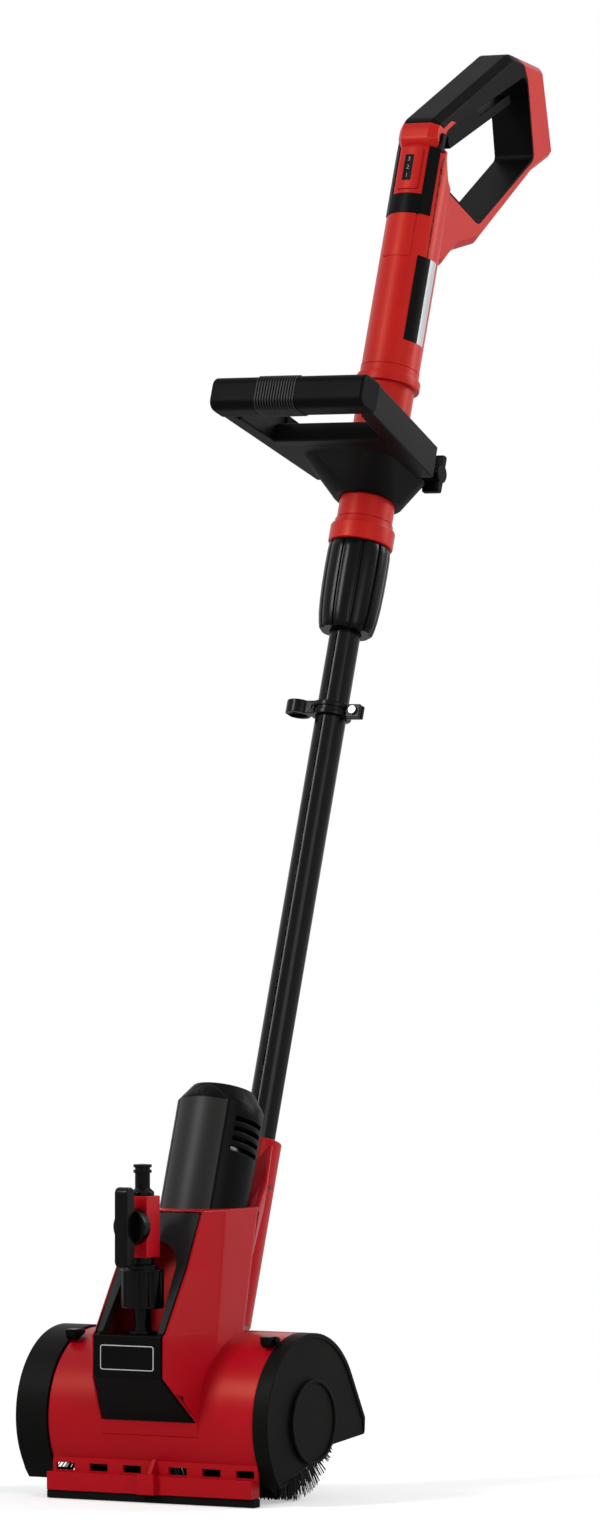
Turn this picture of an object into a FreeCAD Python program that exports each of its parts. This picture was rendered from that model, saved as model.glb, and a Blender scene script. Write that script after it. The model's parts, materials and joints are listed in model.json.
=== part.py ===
import FreeCAD, Part
import math
import os

# Electric patio cleaner with a roller brush, a telescopic pole and two handles.
# Millimetres. X to the right, the front faces -Y, Z up. The origin is the middle of
# the front rubber strip, on the floor. Pieces on the leaning pole are drawn in the
# pole's own frame, X, b (back) and a (along the pole), and are then leaned over.
# A name that ends in _y or _z is a place in the standing frame, and one that ends
# in _b or _a is a place in the pole's frame.

# Angles and counts
lean_angle = 18.4
full_turn = 360.0
quarter_turn = 90.0
eighth_turn = 45.0

# Clearances
cut_over = 2.0
running_gap = 0.3
slide_gap = 0.3
seat_gap = 0.02
brush_side_gap = 2.0
fit_gap = 0.05

# Pole
pole_foot_y = 80.0
pole_radius = 15.0
pole_wall = 1.5
pole_bottom_a = 200.0
pole_length = 835.0
pole_top_a = pole_bottom_a + pole_length
pole_bush_length = 15.0

# Brush and its axle
brush_radius = 75.0
brush_axis_y = 74.0
bristle_end = 110.0
hub_radius = 21.0
band_wall = 1.5
tuft_root_radius = 1.8
tuft_tip_radius = 3.2
tufts_around = 14
tuft_rows = 7
tuft_twist = 11.0
tuft_tip_gap = 0.4
hex_across = 13.0
axle_journal_radius = 8.0
axle_end = 113.0
clip_radius = 11.0
clip_width = 1.6

# Gearbox leg between the two brush halves
leg_half_width = 22.0
leg_side_wall = 5.5
leg_rim_wall = 3.0
gear_module = 2.5
gear_teeth = 31
pinion_teeth = 14
gear_face = 5.6
gear_offset = 13.4
tooth_top_share = 0.10
tooth_root_share = 0.21
tooth_above_share = 0.80
tooth_below_share = 1.10
bevel_module = 1.5
bevel_pinion_teeth = 12
bevel_wheel_teeth = 24
bevel_toe_share = 0.70
bevel_above_share = 0.45
bevel_hub_radius = 9.0
shaft_radius = 4.0
axle_bearing_radius = 15.0
shaft_bearing_radius = 9.0
bearing_width = 5.0
bearing_clearance = 1.0
neck_radius = 14.0
neck_start = 14.0
neck_end = 44.0
neck_bearing_start = 31.0
cavity_gap = 1.4

# Motor, on an axis in front of the pole
motor_b = -75.4
motor_can_radius = 26.0
motor_can_wall = 1.5
motor_can_start_a = 236.0
motor_can_length = 80.0
motor_can_end_a = motor_can_start_a + motor_can_length
motor_end_wall = 6.0
rotor_radius = 19.5
rotor_length = 50.0
magnet_radius = 20.5
magnet_length = 46.0
magnet_half_angle = 68.0
fan_radius = 31.0
fan_gap = 8.0
fan_start_a = motor_can_end_a + fan_gap
fan_height = 9.0
fan_plate = 2.0
fan_blades = 9
fan_blade_wall = 1.6
fan_hub_radius = 8.0

# Motor housing
cover_radius = 41.0
cover_wall = 3.0
cover_over_can = 2.0
cover_over_fan = 39.5
cover_cap_height = 17.5
cover_bottom_a = motor_can_start_a + cover_over_can
cover_top_a = fan_start_a + fan_height + cover_over_fan
cover_shoulder_a = cover_top_a - cover_cap_height
cover_top_radius = 29.0
cover_split = -31.0
cover_rib_width = 4.0
cover_seam_gap = 0.2
vent_count = 4
vent_height = 4.0
vent_pitch = 9.5
vent_below_cap = 46.0
vent_first_a = cover_shoulder_a - vent_below_cap
vent_depth = 16.0
vent_start = -23.5
vent_length = 36.0

# Deck, the red arch over the brush
deck_half_width = 111.5
deck_wall = 3.0
deck_brush_gap = 2.0
deck_radius = brush_radius + deck_brush_gap + deck_wall
crease_angle = 119.0
deck_top_back = 21.0
deck_top_rise = 1.0
deck_top_y = brush_axis_y + deck_top_back
deck_top_z = brush_radius + deck_radius + deck_top_rise
deck_rear_reach = 14.0
deck_rear_drop = 3.0
deck_rear_y = brush_axis_y + deck_radius + deck_rear_reach
deck_rear_z = brush_radius - deck_rear_drop
deck_front_z = 38.0
bar_proud = 2.0
bar_front_y = brush_axis_y - deck_radius - bar_proud
bar_bottom_z = 8.0
bar_top_z = 25.0
slot_bottom_z = 26.0
slot_height = 7.0
slot_length = 20.0
slot_inner_x = 25.0
slot_pitch = 36.5
slots_each_side = 3
tab_half_width = 9.0
tab_reach = 6.0
tab_front_y = bar_front_y - tab_reach
tab_top_z = 27.0
rib_half_width = 2.0
rib_top_z = 45.0
strip_half_width = 113.0
strip_inset = 2.0
strip_depth = 12.0
flap_thickness = 3.0
flap_bottom_z = 57.0
flap_overlap = 4.0

# Tower, the red moulding that carries the motor housing
tower_wall = 3.0
tower_base_z = 62.0
tower_base_front_y = -5.0
tower_base_half_width = 60.0
tower_top_z = 270.0
tower_top_front_y = 44.0
tower_top_half_width = 47.0
tower_rear_b = -48.0
tower_corner = 12.0
arm_front_b = -51.0
arm_front_half_width = 46.0
arm_front_low_a = 205.0
arm_front_high_a = 266.0
arm_middle_b = -30.0
arm_middle_half_width = 37.0
arm_middle_low_a = 262.0
arm_middle_high_a = 298.0
arm_rear_b = -8.0
arm_rear_half_width = 21.5
arm_rear_low_a = 305.0
arm_rear_high_a = 344.0
arm_corner = 8.0
socket_radius = 22.0
socket_bottom_a = 165.0
socket_top_a = 345.0
socket_web_half_width = 19.0
socket_boss_radius = 6.0
socket_boss_length = 22.0
socket_boss_b = 20.0

# Black frame and plate round the water connection
frame_outer_x = 36.5
frame_wall = 3.5
frame_top_proud = 20.0
frame_top_front_y = tower_top_front_y - frame_top_proud
frame_top_drop = 2.0
frame_top_z = tower_top_z - frame_top_drop
frame_middle_front_y = -3.0
frame_middle_z = 217.0
frame_low_front_y = -40.0
frame_low_z = 160.0
frame_edge_proud = 1.0
arch_radius = 26.0
arch_z = 215.0
arch_flare = 4.0
arch_rim = 3.0
arch_rim_depth = 12.0
plate_front_y = -45.0
plate_top_z = 157.0
plate_fold_z = 118.0
skirt_half_width = 50.0
skirt_front_y = -9.0
skirt_bottom_z = 76.0
skirt_back_y = 30.0
bib_corner = 3.0

# Side covers over the brush ends
hood_proud = 2.0
hood_radius = deck_radius + hood_proud
hood_wall = 3.0
hood_rear_y = deck_rear_y + hood_proud
hood_rear_rise = 1.0
hood_rear_z = deck_rear_z + hood_rear_rise
hood_deck_gap = 0.5
hood_inner_x = deck_half_width + hood_deck_gap
right_hood_width = 15.0
left_hood_width = 33.0
right_hood_outer_x = hood_inner_x + right_hood_width
left_hood_outer_x = hood_inner_x + left_hood_width
hood_edge_shares = ((-0.70, -0.71), (-0.39, -0.61), (0.20, -0.40), (0.49, -0.29), (1.16, -0.22))
hood_rim_width = 5.0
hood_rim_height = 1.5
hood_hub_radius = 39.5
hood_hub_height = 4.0
hood_hub_ring = 3.5
bush_radius = 14.0
latch_angle = 117.0
latch_half_length = 8.0
latch_height = 9.0
latch_width = 11.0
latch_tip = 5.0
latch_pin_radius = 1.5
latch_pin_length = 4.0
ear_thickness = 3.0
ear_height = 6.5

# Water connection
water_y = -18.0
nozzle_z = 106.0
inlet_radius = 9.0
inlet_bore = 4.0
inlet_bottom_z = 100.0
inlet_flange_radius = 15.0
inlet_flange_z = 163.0
inlet_flange_height = 3.0
spigot_radius = 8.0
coupler_bottom_z = 183.0
coupler_height = 38.0
coupler_top_z = coupler_bottom_z + coupler_height
coupler_socket = 17.0
spigot_top_z = coupler_bottom_z + coupler_socket
coupler_radius = 15.0
collar_radius = 20.0
collar_drop = 2.0
collar_height = 36.0
collar_bottom_z = coupler_bottom_z - collar_drop
collar_top_z = collar_bottom_z + collar_height
collar_flutes = 10
collar_flute_radius = 3.0
valve_neck_radius = 11.0
valve_neck_height = 7.0
block_half = 12.0
block_height = 57.0
block_bottom_z = coupler_top_z + valve_neck_height
block_top_z = block_bottom_z + block_height
water_bore = 4.5
ball_radius = 8.0
knob_rise = 29.0
knob_z = block_bottom_z + knob_rise
stem_radius = 4.0
knob_disc_radius = 17.4
knob_disc_depth = 12.0
knob_gap = 0.4
knob_bar_length = 74.0
knob_bar_width = 14.0
knob_bar_depth = 14.0
knob_bar_corner = 6.0
nipple_radius = 8.5
nipple_neck_radius = 7.0
nipple_shoulder_radius = 10.8
nipple_shoulder_height = 3.5
nipple_cone_height = 3.5
nipple_height = 29.0
nipple_top_z = block_top_z + nipple_height
nipple_ring_height = 3.0
nipple_ring_pitch = 5.0
nipple_rings = 2

# Hose clip on the pole
clip_below_sleeve = 80.0
clip_height = 13.0
clip_ring_radius = 19.5
clip_groove = 1.5
clip_groove_height = 3.0
clip_bridge = 12.0
hose_ring_x = -31.0
hose_ring_b = -10.0
hose_ring_radius = 12.5
hose_bore = 9.0
hose_mouth = 8.0
clip_lug_x = 33.0
clip_lug_depth = 10.0
clip_lug_slit = 1.5
clip_screw_radius = 2.5
clip_screw_head = 4.0
clip_screw_head_height = 3.0

# Twist sleeve, collet and grip tube
sleeve_bottom_a = 853.0
sleeve_length = 88.0
sleeve_top_a = sleeve_bottom_a + sleeve_length
clip_a = sleeve_bottom_a - clip_below_sleeve
sleeve_bottom_radius = 25.0
sleeve_top_radius = 30.5
sleeve_mouth_height = 6.0
sleeve_mouth_gap = 0.9
sleeve_flutes = 10
sleeve_flute_radius = 4.0
sleeve_flute_margin = 12.0
spigot_tube_radius = 22.0
spigot_overlap = 44.0
spigot_bottom_a = sleeve_top_a - spigot_overlap
spigot_bore = 15.4
collet_gap = 3.0
collet_bottom_a = sleeve_bottom_a + sleeve_mouth_height + collet_gap
collet_inner = 15.3
collet_bottom_radius = 18.2
collet_top_radius = 20.0
collet_slits = 4
collet_slit_width = 2.0
collet_slit_share = 0.7
low_ring_radius = 31.5
low_ring_height = 24.0
low_ring_top_a = sleeve_top_a + low_ring_height
grip_tube_radius = 27.0
grip_tube_length = 138.0
top_ring_height = 18.0
top_ring_bottom_a = low_ring_top_a + grip_tube_length
tube_bore = 24.0
housing_bottom_a = top_ring_bottom_a + top_ring_height
housing_radius = 28.5

# Rear handle. Points of its outline are shares of its length and depth, measured
# from the lower front corner, with a corner radius as a share of the depth. The
# battery face runs between the outline's two foot corners.
loop_rise = 129.0
loop_start_a = housing_bottom_a + loop_rise
loop_start_b = -housing_radius
loop_length = 252.0
loop_depth = 232.5
foot_high_shares = (1.000, 0.805, 0.040)
foot_low_shares = (0.706, 1.000, 0.040)
loop_outline_shares = (
    (0.000, 0.060, 0.000),
    (0.357, 0.050, 0.040),
    (0.405, 0.000, 0.038),
    (0.480, 0.000, 0.100),
    (0.956, 0.516, 0.080),
    foot_high_shares,
    foot_low_shares,
    (0.587, 0.858, 0.030),
    (0.150, 0.500, 0.060),
    (0.060, 0.330, 0.120),
    (-0.050, 0.245, 0.100),
    (-0.050, 0.100, 0.000),
)
opening_front_shares = (0.544, 0.191, 0.040)
opening_back_shares = (0.913, 0.652, 0.035)
loop_opening_shares = (
    (0.623, 0.815, 0.030),
    (0.226, 0.467, 0.040),
    (0.266, 0.131, 0.050),
    (0.361, 0.092, 0.060),
    (0.468, 0.110, 0.050),
    opening_front_shares,
    opening_back_shares,
)
loop_half_width = 22.0
loop_edge_round = 7.0
liner_wall = 2.5
dome_share = 0.405
bore_share = 0.115
housing_dome_a = loop_start_a + dome_share * loop_length
housing_bore_top_a = loop_start_a + bore_share * loop_length
soft_wall = 2.5
soft_outline_shares = (
    (0.480, -0.050, 0.000),
    (0.472, 0.071, 0.000),
    (0.524, 0.123, 0.000),
    (0.540, 0.209, 0.000),
    (0.897, 0.673, 0.000),
    (0.948, 0.617, 0.000),
    (0.992, 0.553, 0.000),
    (1.111, 0.381, 0.000),
    (0.675, -0.135, 0.000),
)
soft_core_shares = (
    (0.400, 0.012, 0.000),
    (0.478, 0.012, 0.080),
    (0.946, 0.520, 0.080),
    (0.980, 0.680, 0.000),
    (0.700, 0.500, 0.000),
)
trigger_rise = 7.7
trigger_tilt_angle = 0.7
trigger_half_width = 8.0
trigger_start = 8.0
trigger_reach_share = 0.888
trigger_low = 33.0
trigger_high = 23.0
trigger_round = 3.0
trigger_web_start = 6.0
trigger_web_top = 5.0
trigger_web_reach = 60.0
trigger_web_end_low = 12.0
trigger_pin_radius = 2.5
trigger_pin_reach = 3.0
trigger_slot_over = 4.0
trigger_slot_top = 8.5
button_a_share = 0.409
button_b_share = 0.068
button_a = loop_start_a + button_a_share * loop_length
button_b = loop_start_b + button_b_share * loop_depth
button_half_length = 10.0
button_half_width = 3.0
button_reach = 3.0
button_round_share = 0.9
wheel_below_dome = 32.0
wheel_depth = 12.5
wheel_a = housing_dome_a - wheel_below_dome
wheel_b = wheel_depth - housing_radius
wheel_radius = 13.0
wheel_width = 9.0
wheel_axle_radius = 2.5
wheel_axle_reach = 3.0
wheel_teeth = 24
wheel_tooth_radius = 0.7
window_height = 30.0
window_half_width = 6.0
window_depth = 9.0
switch_start = 70.0
switch_length = 28.0
switch_low = 2.0
switch_height = 12.0
switch_half_width = 8.0
terminal_half_width = 14.0
terminal_depth = 12.0
terminal_low_share = 0.30
terminal_high_share = 0.75
rail_half_width = 18.0
rail_lip = 4.0
rail_depth = 5.0
blade_half_thickness = 0.5
blade_root = 6.0
blade_reach = 1.0
blade_pitch = 8.0
blade_count = 3
blade_length = 16.0

# Second handle
aux_rise = 45.0
aux_frame_low_a = low_ring_top_a + aux_rise
aux_grip_rise = 26.0
aux_a = aux_frame_low_a + aux_grip_rise
aux_b = -161.0
aux_grip_radius = 17.0
aux_half_width = 84.0
aux_arm_thickness = 15.0
aux_frame_height = 32.0
aux_frame_high_a = aux_frame_low_a + aux_frame_height
aux_rear_half_width = 65.0
aux_rear_b = 6.0
aux_gap_rear_b = -92.0
aux_gap_front_x = 69.0
aux_gap_rear_x = 59.0
aux_bar_depth = 14.0
aux_bar_rise = 10.0
aux_bar_low_a = aux_frame_low_a + aux_bar_rise
aux_clamp_radius = 32.0
aux_clamp_drop = 27.0
aux_funnel_rise = 2.0
aux_clamp_low_a = aux_frame_low_a - aux_clamp_drop
aux_funnel_a = aux_frame_low_a + aux_funnel_rise
aux_funnel_half_width = 50.0
aux_funnel_front_b = -70.0
aux_funnel_corner = 20.0
aux_slit = 3.0
aux_ear_half_height = 11.0
aux_ear_left_x = -14.0
aux_ear_right_x = 28.0
aux_ear_rear_b = 52.0
aux_bolt_b = 43.0
aux_bolt_rise = 20.0
aux_bolt_a = aux_frame_low_a + aux_bolt_rise
aux_bolt_radius = 4.0
aux_nut_radius = 8.0
aux_nut_height = 5.0
aux_knob_end_x = 52.0
aux_knob_radius = 9.0
aux_knob_wing = 19.0
aux_knob_wing_wall = 8.0

# Screws
screw_radius = 2.0
screw_head_radius = 4.0
screw_head_height = 2.5
screw_length = 26.0
handle_screw_shares = ((0.159, 0.123), (0.175, 0.330), (0.402, 0.671), (0.694, 0.880), (0.873, 0.768))
pole_bolt_below = 45.0
pole_bolt_a = socket_top_a - pole_bolt_below

lean = math.radians(lean_angle)
right = FreeCAD.Vector(1, 0, 0)
back = FreeCAD.Vector(0, 1, 0)
up = FreeCAD.Vector(0, 0, 1)
brush_axis_z = brush_radius


def vec(x, y, z):
    return FreeCAD.Vector(x, y, z)


def to_pole(y, z):
    """Give a standing (y, z) as the pole frame's (b, a)."""
    forward = y - pole_foot_y
    return (forward * math.cos(lean) - z * math.sin(lean), forward * math.sin(lean) + z * math.cos(lean))


def to_world(b, a):
    """Give the pole frame's (b, a) as a standing (y, z)."""
    return (pole_foot_y + a * math.sin(lean) + b * math.cos(lean), a * math.cos(lean) - b * math.sin(lean))


def on_pole(shape):
    """Lean a shape that was drawn in the pole's frame."""
    leaning = shape.copy()
    leaning.rotate(vec(0, 0, 0), right, -lean_angle)
    leaning.translate(vec(0, pole_foot_y, 0))
    return leaning


def block(x0, x1, y0, y1, z0, z1):
    return Part.makeBox(x1 - x0, y1 - y0, z1 - z0, vec(x0, y0, z0))


def rod(radius, start, end):
    along = end - start
    return Part.makeCylinder(radius, along.Length, start, along)


def cross_rod(radius, y, z, x0, x1):
    return rod(radius, vec(x0, y, z), vec(x1, y, z))


def post(radius, y, z0, z1, x=0):
    return rod(radius, vec(x, y, z0), vec(x, y, z1))


def turned(profile, start, axis):
    """Turn a closed (radius, height) profile about an axis."""
    points = [vec(radius, 0, height) for radius, height in profile]
    face = Part.Face(Part.makePolygon(points + [points[0]]))
    solid = face.revolve(vec(0, 0, 0), up, full_turn)
    solid.Placement = FreeCAD.Placement(start, FreeCAD.Rotation(up, axis))
    return solid


def rounded_wire(points):
    """Join (y, z, radius) corners into a closed outline, each corner an arc."""
    corners = []
    for index, point in enumerate(points):
        here = vec(0, point[0], point[1])
        radius = point[2] if len(point) > 2 else 0
        if radius == 0:
            corners.append((here, None, here))
            continue
        before = vec(0, points[index - 1][0], points[index - 1][1]) - here
        after = vec(0, points[(index + 1) % len(points)][0], points[(index + 1) % len(points)][1]) - here
        before.normalize()
        after.normalize()
        half = before.getAngle(after) / 2
        inward = before + after
        inward.normalize()
        middle = here + inward * (radius / math.sin(half) - radius)
        setback = radius / math.tan(half)
        corners.append((here + before * setback, middle, here + after * setback))
    edges = []
    for index, (start, middle, end) in enumerate(corners):
        if middle is not None:
            edges.append(Part.Arc(start, middle, end).toShape())
        following = corners[(index + 1) % len(corners)][0]
        edges.append(Part.LineSegment(end, following).toShape())
    return Part.Wire(edges)


def plate(points, x0, x1):
    """Extrude an outline of (y, z) or (y, z, radius) corners from x0 to x1."""
    face = Part.Face(rounded_wire(points))
    face.translate(vec(x0, 0, 0))
    return face.extrude(vec(x1 - x0, 0, 0))


def level_wire(half_width, y0, y1, z, corner):
    """A rounded rectangle at one height."""
    flat = [(-half_width, y0), (half_width, y0), (half_width, y1), (-half_width, y1)]
    edges = []
    for index, (x, y) in enumerate(flat):
        inward_x = 1 if x < 0 else -1
        inward_y = 1 if y == y0 else -1
        bend = corner * (1 - math.sqrt(0.5))
        along_x = vec(x + inward_x * corner, y, z)
        along_y = vec(x, y + inward_y * corner, z)
        middle = vec(x + inward_x * bend, y + inward_y * bend, z)
        start, end = (along_y, along_x) if index % 2 == 0 else (along_x, along_y)
        edges.append(Part.Arc(start, middle, end).toShape())
    wire_edges = []
    for index, edge in enumerate(edges):
        following = edges[(index + 1) % len(edges)]
        wire_edges.append(edge)
        wire_edges.append(Part.LineSegment(edge.Vertexes[-1].Point, following.Vertexes[0].Point).toShape())
    return Part.Wire(wire_edges)


def upright_wire(half_width, a0, a1, b, corner):
    """A rounded rectangle that faces along b, in the pole's frame."""
    wire = level_wire(half_width, a0, a1, 0, corner)
    wire.rotate(vec(0, 0, 0), right, quarter_turn)
    wire.translate(vec(0, b, 0))
    return wire


def fused(shapes):
    return shapes[0].multiFuse(shapes[1:]).removeSplitter()


def capsule(b0, a0, radius0, b1, a1, radius1, x0, x1):
    """Two discs and the straight sides that join them, extruded along X."""
    reach = math.hypot(b1 - b0, a1 - a0)
    heading = math.atan2(a1 - a0, b1 - b0)
    spread = math.acos((radius0 - radius1) / reach)

    def rim(b, a, radius, angle):
        return vec(0, b + radius * math.cos(angle), a + radius * math.sin(angle))

    left_low = rim(b0, a0, radius0, heading + spread)
    right_low = rim(b0, a0, radius0, heading - spread)
    left_high = rim(b1, a1, radius1, heading + spread)
    right_high = rim(b1, a1, radius1, heading - spread)
    edges = [
        Part.Arc(left_low, rim(b0, a0, radius0, heading + math.pi), right_low).toShape(),
        Part.LineSegment(right_low, right_high).toShape(),
        Part.Arc(right_high, rim(b1, a1, radius1, heading), left_high).toShape(),
        Part.LineSegment(left_high, left_low).toShape(),
    ]
    face = Part.Face(Part.Wire(edges))
    face.translate(vec(x0, 0, 0))
    return face.extrude(vec(x1 - x0, 0, 0))


def tooth_points(teeth, module, turn, above):
    """Outline of a gear as (u, v) pairs, with a tooth at the angle turn."""
    pitch_radius = teeth * module / 2
    tip = pitch_radius + above
    root = pitch_radius - module * tooth_below_share
    step = 2 * math.pi / teeth
    points = []
    for index in range(teeth):
        middle = turn + index * step
        for radius, share in ((root, -tooth_root_share), (tip, -tooth_top_share),
                              (tip, tooth_top_share), (root, tooth_root_share)):
            angle = middle + share * step
            points.append((radius * math.cos(angle), radius * math.sin(angle)))
    return points


def cross_gear(teeth, module, turn, b, a, x0, x1):
    """A spur gear on an axis along X."""
    points = tooth_points(teeth, module, turn, module * tooth_above_share)
    return plate([(b + u, a + v) for u, v in points], x0, x1)


def bevel_wire(teeth, turn, scale):
    points = [vec(u * scale, v * scale, 0)
              for u, v in tooth_points(teeth, bevel_module, turn, bevel_module * bevel_above_share)]
    return Part.makePolygon(points + [points[0]])


# Places that follow from the sizes above
axle_b, axle_a = to_pole(brush_axis_y, brush_axis_z)
gear_reach = gear_module * (gear_teeth + pinion_teeth) / 2
layshaft_a = axle_a + math.sqrt(gear_reach ** 2 - (axle_b - motor_b) ** 2)
mesh_angle = math.atan2(layshaft_a - axle_a, motor_b - axle_b)
gear_tip_radius = gear_module * (gear_teeth / 2 + tooth_above_share)
pinion_tip_radius = gear_module * (pinion_teeth / 2 + tooth_above_share)
leg_low_radius = gear_tip_radius + cavity_gap + leg_rim_wall
leg_high_radius = pinion_tip_radius + cavity_gap + leg_rim_wall
bevel_pinion_heel = bevel_module * bevel_wheel_teeth / 2
bevel_wheel_heel = bevel_module * bevel_pinion_teeth / 2


def deck_chamber(radius, x0, x1):
    """The space in which the brush turns, with its straight rear slope."""
    span_y = deck_rear_y - brush_axis_y
    span_z = deck_rear_z - brush_axis_z
    slope = math.acos(deck_radius / math.hypot(span_y, span_z)) + math.atan2(span_z, span_y)
    inset = deck_radius - radius
    touch_y = brush_axis_y + radius * math.cos(slope)
    touch_z = brush_axis_z + radius * math.sin(slope)
    rear_y = deck_rear_y - inset * math.cos(slope)
    rear_z = deck_rear_z - inset * math.sin(slope)
    wedge = plate([(brush_axis_y, brush_axis_z), (touch_y, touch_z), (rear_y, rear_z), (rear_y, 0),
                   (brush_axis_y, 0)], x0, x1)
    return fused([cross_rod(radius, brush_axis_y, brush_axis_z, x0, x1), wedge])


def deck_front_at(radius, z):
    """Where the front of a circle about the brush lies at a height."""
    return brush_axis_y - math.sqrt(radius ** 2 - (z - brush_axis_z) ** 2)


def make_deck_shell():
    """The arch: crease at the front, a flat top, the rear slope and the front bar."""
    half = deck_half_width
    over = half + cut_over
    crease = math.radians(crease_angle)
    crease_y = brush_axis_y + deck_radius * math.cos(crease)
    crease_z = brush_axis_z + deck_radius * math.sin(crease)
    front_y = deck_front_at(deck_radius, deck_front_z)
    wall_back_y = deck_front_at(deck_radius - deck_wall, deck_front_z)
    top = plate([(crease_y, crease_z), (deck_top_y, deck_top_z), (deck_rear_y, deck_rear_z),
                 (brush_axis_y, brush_axis_z)], -half, half)
    arch = fused([deck_chamber(deck_radius, -half, half), top])
    arch = arch.cut(deck_chamber(deck_radius - deck_wall, -over, over))
    arch = arch.cut(block(-over, over, -deck_radius, brush_axis_y, -deck_radius, deck_front_z))
    arch = arch.cut(block(-over, over, brush_axis_y, deck_rear_y + deck_radius, -deck_radius,
                          flap_bottom_z + flap_overlap))
    wall = block(-half, half, front_y, wall_back_y, bar_bottom_z, deck_front_z + cut_over)
    bar = block(-half, half, bar_front_y, wall_back_y, bar_bottom_z, bar_top_z)
    tab = block(-tab_half_width, tab_half_width, tab_front_y, bar_front_y, bar_bottom_z, tab_top_z)
    rib_back = front_y + deck_wall
    rib = plate([(bar_front_y, bar_top_z), (rib_back, rib_top_z), (rib_back, bar_top_z)],
                -rib_half_width, rib_half_width)
    shell = fused([arch, wall, bar, tab, rib])
    for side in (-1, 1):
        for index in range(slots_each_side):
            middle = side * (slot_inner_x + index * slot_pitch)
            shell = shell.cut(block(middle - slot_length / 2, middle + slot_length / 2, front_y - cut_over,
                                    wall_back_y + cut_over, slot_bottom_z, slot_bottom_z + slot_height))
    return shell


def tower_loft(inset, low_z, high_z):
    """The leaning tower between two heights, drawn in by inset."""
    wires = []
    for z in (low_z, high_z):
        share = (z - tower_base_z) / (tower_top_z - tower_base_z)
        half_width = tower_base_half_width + share * (tower_top_half_width - tower_base_half_width)
        front_y = tower_base_front_y + share * (tower_top_front_y - tower_base_front_y)
        rear_a = (z + tower_rear_b * math.sin(lean)) / math.cos(lean)
        rear_y = to_world(tower_rear_b, rear_a)[0]
        wires.append(level_wire(half_width - inset, front_y + inset, rear_y - inset, z, tower_corner - inset))
    return Part.makeLoft(wires, True, True)


def level_trapezoid(front_half, front_y, rear_half, rear_y, z):
    """A closed outline at one height, wider at the rear."""
    corners = [vec(-front_half, front_y, z), vec(front_half, front_y, z), vec(rear_half, rear_y, z),
               vec(-rear_half, rear_y, z)]
    return Part.makePolygon(corners + corners[:1])


def tower_sides(inset):
    """The tower's sides, drawn forward to the edges of the black frame; with an inset, the room within."""
    near = frame_outer_x + seat_gap + tower_wall - inset
    skirt_near = skirt_half_width + seat_gap + tower_wall - inset
    edge = frame_edge_proud - inset
    levels = [(skirt_bottom_z - seat_gap, skirt_front_y + edge, skirt_near),
              (plate_fold_z, plate_front_y + edge, near), (plate_top_z, plate_front_y + edge, near),
              (frame_low_z, frame_low_front_y + edge, near),
              (frame_middle_z, frame_middle_front_y + edge, near),
              (tower_top_z - inset, frame_top_front_y + edge, near)]
    if inset == 0:
        levels.insert(0, (tower_base_z, tower_base_front_y, skirt_near))
    wires = []
    for z, front_y, half_width in levels:
        share = (z - tower_base_z) / (tower_top_z - tower_base_z)
        tower_half = tower_base_half_width + share * (tower_top_half_width - tower_base_half_width)
        tower_y = tower_base_front_y + share * (tower_top_front_y - tower_base_front_y)
        wires.append(level_trapezoid(half_width, front_y, tower_half - inset, tower_y + tower_corner, z))
    return Part.makeLoft(wires, True, True)


def frame_band(depth, top_z, half_width):
    """What lies in front of the black frame's rear face, depth behind its slanting front."""
    front = 2 * plate_front_y
    return plate([(front, plate_top_z), (plate_front_y + depth, plate_top_z),
                  (frame_low_front_y + depth, frame_low_z), (frame_middle_front_y + depth, frame_middle_z),
                  (frame_top_front_y + depth, top_z), (front, top_z)], -half_width, half_width)


def bib_space():
    """Room for the black frame, its plate and its skirt."""
    side = frame_outer_x + seat_gap
    front = 2 * plate_front_y
    upright = block(-side, side, front, skirt_back_y, plate_fold_z, plate_top_z)
    skirt = Part.makeLoft([level_trapezoid(side, front, side, skirt_back_y, plate_fold_z),
                           level_trapezoid(skirt_half_width + seat_gap, front, skirt_half_width + seat_gap,
                                           skirt_back_y, skirt_bottom_z)], True, True)
    return fused([upright, skirt, frame_band(frame_wall + seat_gap, frame_top_z + seat_gap, side)])


def make_arms():
    """The cradle that sweeps from the tower's sides up to the pole socket."""
    wires = [
        upright_wire(arm_front_half_width, arm_front_low_a, arm_front_high_a, arm_front_b, arm_corner),
        upright_wire(arm_middle_half_width, arm_middle_low_a, arm_middle_high_a, arm_middle_b, arm_corner),
        upright_wire(arm_rear_half_width, arm_rear_low_a, arm_rear_high_a, arm_rear_b, arm_corner),
    ]
    return Part.makeLoft(wires, True, True)


def make_rear_housing():
    """The socket that holds the pole, and the web that joins it to the tower."""
    socket = post(socket_radius, 0, socket_bottom_a, socket_top_a)
    web = block(-socket_web_half_width, socket_web_half_width, tower_rear_b, 0, socket_bottom_a,
                arm_front_high_a)
    boss = rod(socket_boss_radius, vec(0, socket_boss_b, socket_top_a - socket_boss_length),
               vec(0, socket_boss_b, socket_top_a))
    body = fused([socket, web, boss])
    bore = post(pole_radius, 0, socket_bottom_a - cut_over, socket_top_a + cut_over)
    pocket = block(-socket_web_half_width + tower_wall, socket_web_half_width - tower_wall,
                   tower_rear_b + tower_wall, -socket_radius, socket_bottom_a + tower_wall,
                   arm_front_high_a - tower_wall)
    motor_space = post(cover_radius + slide_gap, motor_b, cover_bottom_a - cut_over, cover_top_a)
    return body.cut(bore).cut(pocket).cut(motor_space)


def gearbox_space(gap):
    """The outside of the gearbox leg and its neck, grown by gap."""
    leg = capsule(axle_b, axle_a, leg_low_radius + gap, motor_b, layshaft_a, leg_high_radius + gap,
                  -leg_half_width - gap, leg_half_width + gap)
    neck = post(neck_radius + gap, motor_b, layshaft_a + neck_start, layshaft_a + neck_end + gap)
    return fused([leg, neck])


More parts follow.
